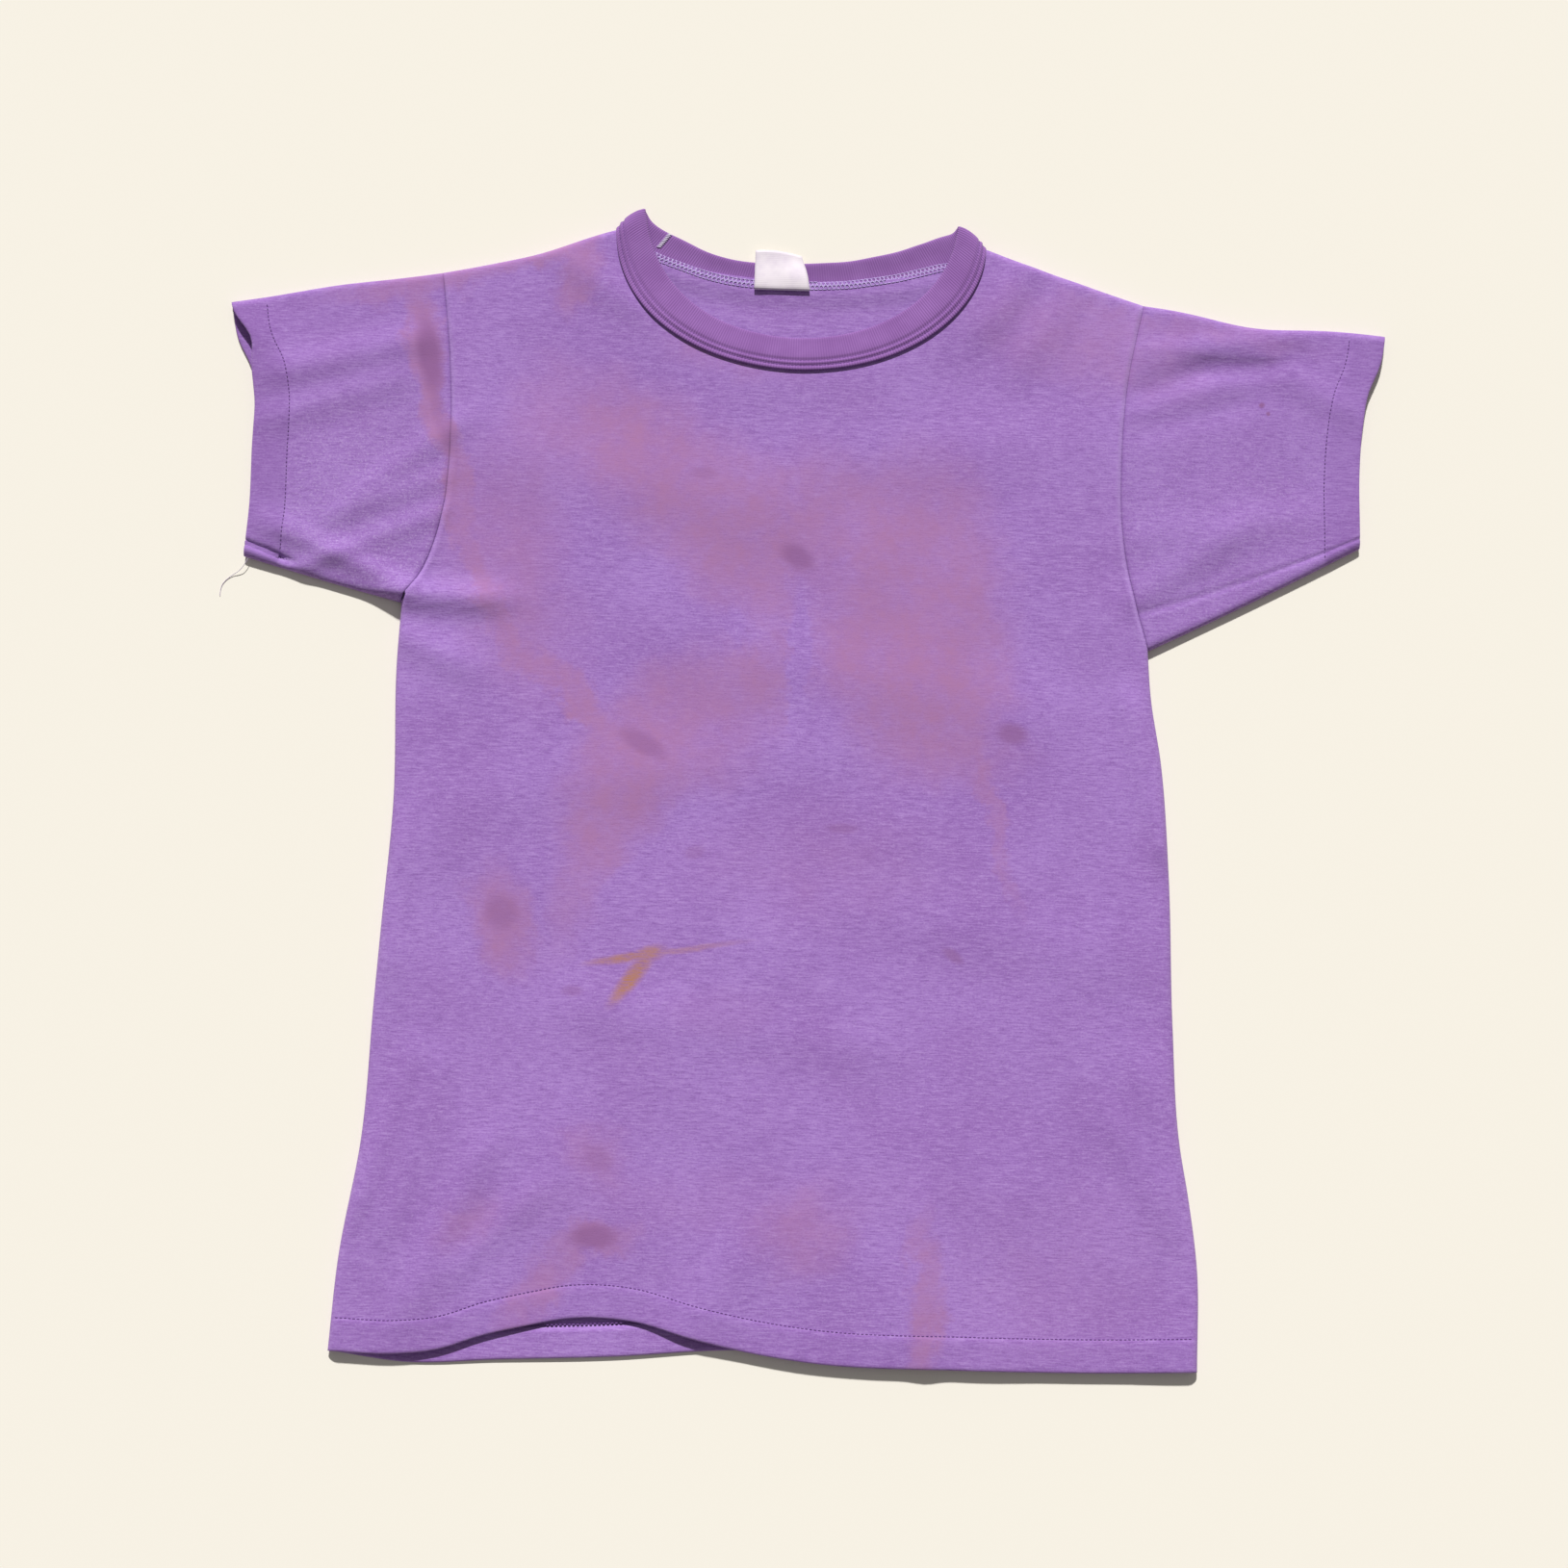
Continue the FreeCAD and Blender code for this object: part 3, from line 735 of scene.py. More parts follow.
def thread(name, colour, paler):
    # spun cotton thread: matt, with slight light and dark turns of its twist, 1.1 mm apart
    material, tree, shader = newMaterial(name, 0.85, 0.2, 0.1)
    where = addNode(tree, "TexCoord").outputs["Object"]
    twist = addNode(tree, "TexNoise", values={"Scale": 900.0, "Detail": 2.0},
                    links={"Vector": where})
    tree.links.new(tinted(tree, colour, paler, twist.outputs[0], 0.35, 0.65),
                   shader.inputs["Base Color"])
    return material


def satinTape():
    # white woven satin label: a slight sheen and a fine weave; real picks lie 0.2 mm apart and
    # are drawn 1.2 mm apart, so that they show
    material, tree, shader = newMaterial("satinTape", 0.6, 0.35, 0.1)
    where = addNode(tree, "TexCoord").outputs["Object"]
    weave = addNode(tree, "TexWave", {"wave_type": "BANDS", "bands_direction": "Y"},
                    {"Scale": 260.0, "Distortion": 0.4}, {"Vector": where})
    soil = addNode(tree, "TexNoise", values={"Scale": 120.0, "Detail": 4.0},
                   links={"Vector": where})          # soiled in patches of 8 mm
    colour = tinted(tree, "#eadfe6", "#dccfdc", soil.outputs[0], 0.4, 0.7)
    colourAndRelief(tree, shader, colour, weave.outputs[0], 0.25, 0.0001)
    return material


jerseyFront = jersey("jerseyFront", True)
jerseyPlain = jersey("jerseyPlain", False)
ribMaterial = ribKnit()
purpleThread = thread("purpleThread", "#62397c", "#7f579a")
lavenderThread = thread("lavenderThread", "#b596d6", "#d2bcec")
paleThread = thread("paleThread", "#dccdea", "#f3ecf8")
looseMaterial = thread("looseThread", "#b7a6c0", "#d5cadb")
labelMaterial = satinTape()
print("materials ready")


# the body is one tube, front and back in one piece, with its hem turned up inside
bodyMesh = {
    "edgeSteps": [0, 0.4, 1.3, 2.7, 4.4, 6.6, 10, 15],
    "columnStep": 6.0,
    "rowStep": 5.6,
    "turnUp": [(18.4, 1.6), (14, 1.6), (9, 1.6), (4.5, 1.6), (2.0, 1.6), (0.9, 1.5), (0.25, 1.2)],
    "hemEdge": [(0.0, 0.8), (0.25, 0.4), (0.9, 0.1), (2.0, 0.0), (4.0, 0.0), (8.0, 0.0),
                (13.0, 0.0),
                (16.5, 0.0), (18.2, 0.0), (19.0, 0.0), (19.8, 0.0), (21.5, 0.0), (25.0, 0.0)],
    "rowDip": 0.45,
    "hemRise": 0.6,
}


def spaced(start, end, step):
    count = max(int(round(abs(end - start) / step)), 1)
    return list(np.linspace(start, end, count + 1)[1:-1])


def topPlaces(drop):
    # points along the body's upper edge: right shoulder, neck, left shoulder
    near = bodyMesh["edgeSteps"]
    startX = outline["shoulders"][0][0]
    endX = outline["leftShoulder"][-1][0]
    halfWidth = neck["halfWidth"] - neck["lap"]
    depth = drop - neck["lap"]
    places = []
    rightEnd = outline["shoulders"][-1][0]
    leftEnd = outline["leftShoulder"][0][0]
    shoulderX = [startX + d for d in near]
    shoulderX += spaced(startX + near[-1], rightEnd, bodyMesh["columnStep"])
    shoulderX.append(rightEnd)
    places += [(x, float(curveThrough(outline["shoulders"], x))) for x in shoulderX]
    count = 52
    for i in range(count + 1):
        share = i / count
        bend = 0.6 * math.cos(math.pi * share) + 0.4 * (1 - 2 * share)
        x = neck["x"] - halfWidth * bend
        places.append(shifted(x, neck["y"] - depth * math.sqrt(max(1 - bend**2, 0))))
    shoulderX = [leftEnd] + spaced(leftEnd, endX - near[-1], bodyMesh["columnStep"])
    shoulderX += [endX - d for d in reversed(near)]
    places += [(x, float(curveThrough(outline["leftShoulder"], x))) for x in shoulderX]
    return places


def bodyLayer(front):
    drop = neck["frontDrop"] if front else neck["backDrop"]
    hemLine = hem["front"] if front else hem["back"]
    places = topPlaces(drop)
    near = bodyMesh["edgeSteps"]
    middleRows = int((neck["y"] - bodyLow[1] - 45) / bodyMesh["rowStep"])
    columns = []
    for x, topY in places:
        share = (x - rightX(topY)) / (leftX(topY) - rightX(topY))
        share = min(max(float(share), 0.0), 1.0)
        hemX = rightX(-350.0) + (leftX(-350.0) - rightX(-350.0)) * share
        hemY = float(curveThrough(hemLine, hemX))
        heights = [hemY + up for up, _ in bodyMesh["turnUp"] + bodyMesh["hemEdge"]]
        drops = [down for _, down in bodyMesh["turnUp"] + bodyMesh["hemEdge"]]
        lowest = heights[-1]
        highest = topY - near[-1]
        heights += list(np.linspace(lowest, highest, middleRows + 2)[1:-1])
        heights += [topY - d for d in reversed(near)]
        drops += [0.0] * (len(heights) - len(drops))
        columns.append((share, hemY, heights, drops))
    y = np.array([c[2] for c in columns]).T
    down = np.array([c[3] for c in columns]).T
    share = np.array([c[0] for c in columns])[None, :]
    hemY = np.array([c[1] for c in columns])[None, :]
    x = rightX(y) + (leftX(y) - rightX(y)) * share
    turned = np.zeros_like(y, bool)
    turned[:len(bodyMesh["turnUp"])] = True
    sideEdge = np.zeros_like(y, bool)
    sideEdge[:, 0] = y[:, 0] < underarm["right"]
    sideEdge[:, -1] = y[:, -1] < underarm["left"]
    shoulderEdge = np.zeros_like(y, bool)
    neckStart = outline["shoulders"][-1][0] + 0.01
    neckEnd = outline["leftShoulder"][0][0] - 0.01
    shoulderEdge[-1] = (x[-1] <= neckStart) | (x[-1] >= neckEnd)
    z = layerZ(x, y, sideEdge | shoulderEdge, front, down)
    # the doubled hem is a little prouder than the cloth above it, and the stitching pulls it in
    above = y - hemY
    hemShape = bodyMesh["hemRise"] * (1 - smooth(above, hem["width"] - 1, hem["width"] + 2.5))
    hemShape -= bodyMesh["rowDip"] * np.exp(-((above - hem["width"]) / 1.1) ** 2)
    hemShape = np.where(turned | sideEdge, 0, hemShape) * smooth(foldDistance(x, y), 0, 5)
    z += hemShape if front else 0
    # a turned-up hem lies inside the side folds
    tuck = np.where(turned, 1.6, 0) * (1 - smooth(np.minimum(share, 1 - share) * 500, 0, 14))
    x = x + tuck * np.where(share < 0.5, 1, -1)
    # the armhole seam: a ridge on the body's side of it, and a groove
    for armhole, low, way in ((outline["rightArmhole"], underarm["right"], 1),
                              (outline["leftArmhole"], underarm["left"], -1)):
        off = np.abs(x - curveThrough(armhole, y))
        inArmhole = smooth(y, low, low + 12) * (1 - smooth(y, 296, 306))
        deep = sleeves[-way]["groove"]
        seam = 0.75 * np.exp(-((off - 3.0) / 1.9) ** 2) - deep * np.exp(-(off / 1.3) ** 2)
        z += seam * inArmhole * (1 if front else 0)
    points = np.stack([x, y, z], 2)
    # a painted highlight on the ridge beside each armhole seam
    seamLightAndDarkening = np.zeros_like(x)
    for armhole, low, strength in ((outline["rightArmhole"], underarm["right"], 0.5),
                                   (outline["leftArmhole"], underarm["left"], 0.8)):
        line = np.exp(-((np.abs(x - curveThrough(armhole, y)) - 1.6) / 0.9) ** 2)
        seamLightAndDarkening += strength * line * smooth(y, low - 4, low + 12)
    # the hem band is painted a little darker
    seamLightAndDarkening -= 0.12 * (1 - smooth(above, hem["width"] - 1, hem["width"] + 1))
    if front:
        return points, {"seamLightAndDarkening": seamLightAndDarkening, "pilled": 0.18 + 0 * x}
    return points[:, ::-1], {"seamLightAndDarkening": 0 * x, "pilled": 0.18 + 0 * x}


def makeTube(name, frontLayer, backLayer):
    # two layers, joined along the edges that they share and given the cloth's thickness
    front = sheetGrid(name + "Front", *frontLayer)
    front.data.materials.append(jerseyFront)
    front.data.materials.append(jerseyPlain)
    back = sheetGrid(name + "Back", *backLayer)
    back.data.materials.append(jerseyPlain)
    tube = joined(name, [front, back])
    mergeDoubles(tube)
    thicken(tube, outline["cloth"], 1)
    return tube


def makeBody():
    body = makeTube("bodyCloth", bodyLayer(True), bodyLayer(False))
    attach(body, "shirt")
    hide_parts("body_tube")
    return body


body = makeBody()
print("body made,", len(body.data.polygons), "faces")


# each sleeve is one piece, from its armhole to its turned-up hem
sleeveMesh = {
    "acrossSteps": [0, 0.4, 1.3, 2.7, 4.2, 5.5, 6.6, 7.5, 8.4, 9.6, 10.9, 12.2, 13.5, 14.8, 16.1,
                    17.4, 19],
    "step": 4.6,
    "hemWidth": 22.0,
    "seamSteps": [0, 1.0, 2.2, 3.6, 5.5],
}


def sleeveLayer(side, front):
    way = side["way"]
    width = side["top"][1] - side["low"][1]
    edge = sleeveMesh["acrossSteps"]
    across = [d / width for d in edge]
    across += [v / width for v in spaced(edge[-1], width - edge[-1], sleeveMesh["step"])]
    across += [1 - d / width for d in reversed(edge)]
    across = np.array(across)[:, None]
    frontInset = side["frontInset"] if front else 0.0
    endX, _ = sleevePoint(side, np.ones_like(across), across, frontInset)
    startX, _ = sleevePoint(side, np.zeros_like(across), across, frontInset)
    length = np.abs(endX - startX)
    extra = sleeveMesh["hemWidth"] - hem["width"]
    rim = [(back + (extra if back > 8 else 0), down)
           for back, down in bodyMesh["turnUp"] + bodyMesh["hemEdge"]]
    rimBack = np.array([back for back, _ in rim])[::-1][None, :]
    rimDown = np.array([down for _, down in rim])[::-1]
    seam = np.array(sleeveMesh["seamSteps"])[None, :]
    middleStart = seam[:, -1:]
    middleEnd = length - rimBack[:, :1]
    count = int(round(float(np.mean(middleEnd - middleStart)) / sleeveMesh["step"]))
    middle = middleStart + (middleEnd - middleStart) * np.linspace(0, 1, count + 1)[1:-1][None, :]
    distance = np.concatenate([np.repeat(seam, len(across), 0), middle, length - rimBack], 1)
    x, y = sleevePoint(side, distance / length, across, frontInset)
    down = np.zeros_like(x)
    down[:, -len(rimDown):] = rimDown[None, :]
    turned = np.zeros_like(x, bool)
    turned[:, -len(bodyMesh["turnUp"]):] = True
    atFold = np.zeros_like(x, bool)
    atFold[0] = True
    atFold[-1] = True
    z = layerZ(x, y, atFold, front, down)
    fromEnd = length - distance
    inside = np.where(turned | atFold, 0, 1) * smooth(foldDistance(x, y), 0, 5)
    if front:
        rise = 0.6 * (1 - smooth(fromEnd, sleeveMesh["hemWidth"] - 1, sleeveMesh["hemWidth"] + 2.5))
        rise -= 0.5 * np.exp(-((fromEnd - sleeveMesh["hemWidth"]) / 1.1) ** 2)
        open_ = 2.6 * np.exp(-((y - 262) / 26) ** 2) * (1 - smooth(fromEnd, 0, 45)) * (way < 0)
        z += inside * (rise + open_)
        reach = smooth(foldDistance(x, y), 0, 8)
        z -= side["groove"] * np.exp(-(distance / 1.3) ** 2) * reach
        crease = side["crease"]
        offLine = across * width - crease["at"] - crease["slope"] * fromEnd
        nearEnd = 1 - smooth(fromEnd, crease["reach"] - 12, crease["reach"])
        sunk = crease["depth"] * np.exp(-(offLine / crease["width"]) ** 2)
        z -= sunk * nearEnd * np.where(turned, 0, 1)
    tuck = np.where(turned, 1.6, 0)
    fromLow = across * width
    y = y + tuck * (1 - smooth(fromLow, 0, 14)) - tuck * (1 - smooth(width - fromLow, 0, 14))
    points = np.stack([x, y, z], 2)
    # rubbed fluffy near the underarm; painted shade in the armhole seam's groove, the hem band
    # painted a little darker, and the whole sleeve slightly darker
    fluff = side["fluff"] * (1 - smooth(across, 0.35, 0.85)) * smooth(fromEnd, 16, 30)
    fluff = fluff + 0.12 + 0 * x
    seamLightAndDarkening = -0.35 * np.exp(-(distance / 1.4) ** 2) - 0.14 * (1 - smooth(fromEnd, 20, 23)) - 0.09
    painted = {"seamLightAndDarkening": seamLightAndDarkening, "pilled": fluff}
    if (way < 0) == front:
        return points[:, ::-1], {key: values[:, ::-1] for key, values in painted.items()}
    return points, painted


def makeSleeve(name, side, nodes):
    sleeve = makeTube(name, sleeveLayer(side, True), sleeveLayer(side, False))
    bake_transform(sleeve)
    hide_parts(*nodes["names"])
    return sleeve


rightFoldX = boxMm("sleeve_head_right")[0][0]
leftFoldX = boxMm("sleeve_head_left")[1][0]
rightSleeve = makeSleeve("sleeveRightCloth", sleeves[-1],
                         {"foldX": rightFoldX, "names": ["sleeve_right", "sleeve_head_right"]})
leftSleeve = makeSleeve("sleeveLeftCloth", sleeves[1],
                        {"foldX": leftFoldX, "names": ["sleeve_left", "sleeve_head_left"]})
print("sleeves made,", len(rightSleeve.data.polygons), len(leftSleeve.data.polygons), "faces")


# the neck rib is a folded band in one ring, over the shoulders and round the back
ribMesh = {
    "across": [0, 0.3, 0.9, 1.7, 2.3, 3.0, 3.7, 4.5, 5.4, 6.1, 6.8, 7.6, 8.6, 10, 12, 14.5, 17, 19,
               20.6, 21.5, 22.0],
    "frontCount": 130,
    "backCount": 110,
    "rows": (3.0, 6.4),           # needle rows, from the outer edge
    "rowDip": 0.75,
    "bead": 0.3,                  # swelling between the two rows
    "droop": 1.3,                 # the free edge sinks a little
    "cordPitch": 1.6,             # one rib and its valley; the real ones are 1.1 mm
}


def clustered(count):
    share = np.linspace(0, 1, count + 1)
    return 0.5 - 0.5 * np.cos(np.pi * share) * (0.45 + 0.55 * np.abs(np.cos(np.pi * share)) ** 0.5)


def ribLine(turn, width, front):
    # turn runs 0 to 1 from the right shoulder to the left one,
    # width 0 to 1 from the sewn edge to the fold
    angle = math.pi + math.pi * turn
    if front:
        drop, band = neck["frontDrop"], neck["frontRib"]
    else:
        drop, band = neck["backDrop"], neck["backRib"]
    innerDrop = neck["peakY"] - (neck["y"] - drop + band)
    outerX = neck["x"] + neck["halfWidth"] * np.cos(angle)
    outerY = neck["y"] + drop * np.sin(angle)
    innerX = neck["x"] + (neck["halfWidth"] - neck["earInset"]) * np.cos(angle)
    innerY = neck["peakY"] + innerDrop * np.sin(angle)
    x = outerX + (innerX - outerX) * width
    y = outerY + (innerY - outerY) * width
    y = y + neckShift(x, y)
    if not front:
        y = y + curveThrough(neck["backEdge"], x) * (0.35 + 0.65 * width)
    return x, y


def ribPlace(turn, width, front):
    # the ears swell outwards, and their tips are drawn back
    x, y = ribLine(turn, width, front)
    nearEar = np.exp(-(np.minimum(turn, 1 - turn) / 0.05) ** 2)
    swell = neck["earRound"] * np.sin(math.pi * width) * nearEar
    way = np.where(turn < 0.5, -1, 1)
    back = 1.3 * smooth(width, 0.72, 1.0) * np.exp(-(np.minimum(turn, 1 - turn) / 0.025) ** 2)
    x = x + way * (0.63 * swell + 0.55 * back)
    y = y + 0.78 * swell - 0.75 * back
    return x, y


def earDistance(x, y):
    # from the two lines on which the rib turns over, from the neck's corners to the ears' tips
    ears = [np.array([neckCorner(way), peak(way)]) for way in (-1, 1)]
    return distanceTo(ears, x, y, ended=False)


def ribMiddle(turn, width, front):
    # the middle of the band's thickness
    distance = earDistance(*ribLine(turn, width, front))
    x, y = ribPlace(turn, width, front)
    turnOver = rounded(distance, 8.0)
    middle = lie["fold"] + 1.2 + 1.6 * width
    if front:
        high = frontHeight(x, y) + neck["ribThickness"] / 2 + 0.15
        high = high - ribMesh["droop"] * smooth(width, 0.35, 1)
        z = middle + (high - middle) * turnOver
    else:
        low = neck["ribThickness"] / 2 + ribMesh["bead"] + 0.1 + 0.9 * smooth(width, 0.5, 1)
        z = middle - (middle - low) * turnOver
    return np.stack([x, y, z], -1)


def ribRing():
    # middle points all the way round: front from right to left, then the back from left to right
    width = np.array(ribMesh["across"]) / ribMesh["across"][-1]
    frontTurn = clustered(ribMesh["frontCount"])
    backTurn = clustered(ribMesh["backCount"])[::-1][1:-1]
    front = ribMiddle(frontTurn[:, None], width[None, :], True)
    back = ribMiddle(backTurn[:, None], width[None, :], False)
    return np.concatenate([front, back], 0)


def ribNormals(ring):
    wrapped = np.concatenate([ring[-1:], ring, ring[:1]], 0)
    along = wrapped[2:] - wrapped[:-2]
    across = np.gradient(ring, axis=1)
    return unit(np.cross(along, across))


def makeRib():
    ring = ribRing()
    normal = ribNormals(ring)
    width = np.array(ribMesh["across"])
    band = width[-1]
    half = neck["ribThickness"] / 2
    edge = np.minimum(rounded(band - width, 1.6), 0.45 + 0.55 * rounded(width, 1.0))
    shape = half * edge
    outside = shape.copy()
    for row in ribMesh["rows"]:
        outside -= ribMesh["rowDip"] * np.exp(-((width - row) / 0.75) ** 2)
    between = sum(ribMesh["rows"]) / 2
    outside += ribMesh["bead"] * np.exp(-((width - between) / 1.0) ** 2)
    faceOut = ring + normal * outside[None, :, None]
    faceIn = ring - normal * shape[None, :, None]
    loop = np.concatenate([faceOut, faceIn[:, ::-1]], 1)
    loop = np.concatenate([loop, loop[:, :1]], 1)
    loop = np.concatenate([loop, loop[:1]], 0)
    rib = sheetGrid("neckRibBand", loop)
    # UV in millimetres: round the ring, and across the band
    step = np.linalg.norm(np.diff(np.concatenate([ring, ring[:1]], 0).mean(1), axis=0), axis=1)
    round_ = np.concatenate([[0], np.cumsum(step)])
    layer = rib.data.uv_layers.new(name="band")
    columns = loop.shape[1]
    acrossMm = np.concatenate([width, width[::-1], width[:1]])
    loopVertex = np.zeros(len(rib.data.loops), int)
    rib.data.loops.foreach_get("vertex_index", loopVertex)
    scale = 2 * math.pi / (ribMesh["cordPitch"] * 20)
    uv = np.stack([round_[loopVertex // columns] * scale,
                   acrossMm[loopVertex % columns] * scale], 1)
    layer.data.foreach_set("uv", uv.ravel())
    rib.data.materials.append(ribMaterial)
    mergeDoubles(rib)
    pointOutwards()
    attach(rib, "shirt")
    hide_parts("neck_rib")
    return rib


rib = makeRib()
print("rib made,", len(rib.data.polygons), "faces")


def stitchShape():
    # a grain of thread lying along X, one unit long
    clearSelection()
    bpy.ops.mesh.primitive_uv_sphere_add(segments=6, ring_count=5, radius=0.5)
    seed = bpy.context.object
    bpy.ops.object.mode_set(mode="EDIT")
    bpy.ops.mesh.select_all(action="SELECT")
    bpy.ops.transform.rotate(value=math.pi / 2, orient_axis="Y", center_override=(0, 0, 0))
    bpy.ops.object.mode_set(mode="OBJECT")
    vertices = np.array([v.co for v in seed.data.vertices])
    # the sphere's points and faces come in an order that varies from run to run, so they are sorted
    order = sorted(range(len(vertices)), key=lambda i: tuple(np.round(vertices[i], 4)))
    faces = sorted(tuple(order.index(v) for v in p.vertices) for p in seed.data.polygons)
    bpy.data.objects.remove(seed)
    return vertices[order], faces


grainVertices, grainFaces = stitchShape()


def stitchRow(name, places, directions, normals, size, material):
    # size is length, width and height of each stitch in millimetres
    places = np.asarray(places, float)
    alongs = unit(np.asarray(directions, float))
    ups = unit(np.asarray(normals, float))
    sides = unit(np.cross(ups, alongs))
    ups = np.cross(alongs, sides)
    local = grainVertices * np.array(size)
    vertices = (places[:, None] + local[None, :, 0:1] * alongs[:, None]
                + local[None, :, 1:2] * sides[:, None] + local[None, :, 2:3] * ups[:, None])
    count = len(grainVertices)
    faces = [tuple(v + i * count for v in face) for i in range(len(places)) for face in grainFaces]
    mesh = bpy.data.meshes.new(name)
    mesh.from_pydata((vertices.reshape(-1, 3) * mm).tolist(), [], faces)
    mesh.polygons.foreach_set("use_smooth", [True] * len(faces))
    mesh.materials.append(material)
    piece = bpy.data.objects.new(name, mesh)
    bpy.context.collection.objects.link(piece)
    return piece


def lengthAlong(path):
    step = np.linalg.norm(np.diff(path, axis=0), axis=1)
    return np.concatenate([[0], np.cumsum(step)])


def carried(path, places, vectors):
    # vectors known at a path's points, read at places along it
    total = lengthAlong(path)
    return np.stack([np.interp(places, total, vectors[:, i]) for i in range(3)], 1)


def evenly(path, pitch):
    # points along a path, one stitch apart, and which way it runs at each
    places = np.arange(pitch / 2, lengthAlong(path)[-1], pitch)
    ahead = carried(path, places + 0.3, path)
    behind = carried(path, places - 0.3, path)
    return carried(path, places, path), ahead - behind, places


stitch = {
    "pitch": 2.5,
    "lowest": 0.28,               # a stitch's middle stays this far above the floor
    "neck": (2.1, 0.62, 0.5),     # length, width and height of each kind
    "hem": (1.8, 0.75, 0.6),
    "chainPitch": 2.7,
    "chain": (5.6, 0.75, 0.55),
    "chainEdge": (2.6, 0.7, 0.5),
    "joinPitch": 1.3,
    "join": (3.2, 0.9, 0.8),
}
upward = np.array([0.0, 0.0, 1.0])


def makeNeckRows():
    ring = ribRing()
    normal = ribNormals(ring)
    width = np.array(ribMesh["across"])
    rows = []
    for name, row, node in (("neckRowOuter", ribMesh["rows"][0], "neck_stitch_outer"),
                            ("neckRowInner", ribMesh["rows"][1], "neck_stitch_inner")):
        at = int(np.argmin(np.abs(width - row)))
        lift = neck["ribThickness"] / 2 - ribMesh["rowDip"] + 0.12
        line = ring[:, at] + normal[:, at] * lift
        line = np.concatenate([line, line[:1]], 0)
        normals = np.concatenate([normal[:, at], normal[:1, at]], 0)
        places, directions, along = evenly(line, stitch["pitch"])
        ups = carried(line, along, normals)
        places[:, 2] = np.maximum(places[:, 2], stitch["lowest"])
        piece = stitchRow(name, places, directions, ups, stitch["neck"], purpleThread)
        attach(piece, "shirt")
        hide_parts(node)
        rows.append(piece)
    return rows


def makeLooperChain():
    # the same seam's under side, inside the back of the neck: a pale zigzag between edges of loops
    turn = np.linspace(0.045, 0.955, 400)
    middle = 0.275
    centre = ribMiddle(turn, np.full_like(turn, middle), False)
    inner = ribMiddle(turn, np.full_like(turn, middle + 0.14), False)
    side = unit(inner - centre)
    centre[:, 2] = backTop(centre)
    places, directions, along = evenly(centre, stitch["chainPitch"] / 2)
    sides = unit(carried(centre, along, side))
    directions = unit(directions)
    tilt = np.where(np.arange(len(places)) % 2 == 0, 1, -1)[:, None]
    slants = directions * 0.55 + sides * tilt
    zigzag = stitchRow("chainZigzag", places + upward * 0.1, slants, upward, stitch["chain"],
                       lavenderThread)
    pieces = [zigzag]
    for number, edge in enumerate((-2.5, 0.0, 2.5)):
        row = places[::2] + sides[::2] * edge
        row[:, 2] = backTop(row) + 0.15
        pieces.append(stitchRow("chainEdge%d" % number, row, directions[::2], upward,
                                stitch["chainEdge"], lavenderThread))
    chain = joined("neckChain", pieces)
    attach(chain, "shirt")
    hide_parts("neck_looper_chain")
    return chain


def backTop(points):
    # upper face of whatever lies uppermost at the back of the neck: the cloth's edge or the rib
    x, y = points[:, 0], points[:, 1]
    halfWidth, drop = neck["halfWidth"] - neck["lap"], neck["backDrop"] - neck["lap"]
    gap = ellipseGap(x, y, neck["y"], halfWidth, drop)
    cloth = backHeight(x, y) + outline["cloth"]
    ribTop = points[:, 2] * 0 + neck["ribThickness"] + 0.2
    return np.where(gap > 0, cloth, ribTop) + 0.1


def makeHemRows():
    x = np.linspace(rightX(-333.0) + 2.5, leftX(-333.0) - 2.5, 300)
    front = curveThrough(hem["front"], x) + hem["width"]
    back = curveThrough(hem["back"], x) + hem["width"]
    zero = np.zeros_like(x, bool)
    pieces = []
    places, directions, _ = evenly(np.stack([x, front, 0 * x], 1), stitch["pitch"])
    places, up = dropOn(body, places, 0.1)
    pieces.append(stitchRow("hemRowFront", places, directions, up, stitch["hem"], purpleThread))
    inner = layerZ(x, back, zero, False) + 2.35
    backLine = np.stack([x, back, inner], 1)[6:-6]
    places, directions, _ = evenly(backLine, stitch["pitch"])
    pieces.append(stitchRow("hemRowBack", places, directions, upward, stitch["hem"], purpleThread))
    row = joined("hemRow", pieces)
    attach(row, "shirt")
    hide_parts("hem_stitch")
    return row


def makeSleeveHemRow(name, side, cloth, bodyName, node):
    across = np.linspace(0.03, 0.97, 160)
    pieces = []
    for front in (True, False):
        endX, _ = sleevePoint(side, np.ones_like(across), across)
        startX, _ = sleevePoint(side, np.zeros_like(across), across)
        length = np.abs(endX - startX)
        back = sleeveMesh["hemWidth"] if front else sleeveMesh["hemWidth"] - 1.5
        x, y = sleevePoint(side, 1 - back / length, across)
        z = 0 * x if front else layerZ(x, y, np.zeros_like(x, bool), False) + 2.35
        line = np.stack([x, y, z], 1)
        places, directions, _ = evenly(line, stitch["pitch"])
        up = upward
        if front:
            places, up = dropOn(cloth, places, 0.1)
        pieces.append(stitchRow(name + str(front), places, directions, up, stitch["hem"],
                                purpleThread))
    row = joined(name, pieces)
    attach(row, bodyName)
    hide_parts(node)
    return row


neckRows = makeNeckRows()
neckChain = makeLooperChain()
hemRow = makeHemRows()
rightHemRow = makeSleeveHemRow("sleeveRightHemRow", sleeves[-1], rightSleeve, "right_sleeve",
                               "sleeve_hem_stitch_right")
leftHemRow = makeSleeveHemRow("sleeveLeftHemRow", sleeves[1], leftSleeve, "left_sleeve",
                              "sleeve_hem_stitch_left")
print("stitches made")


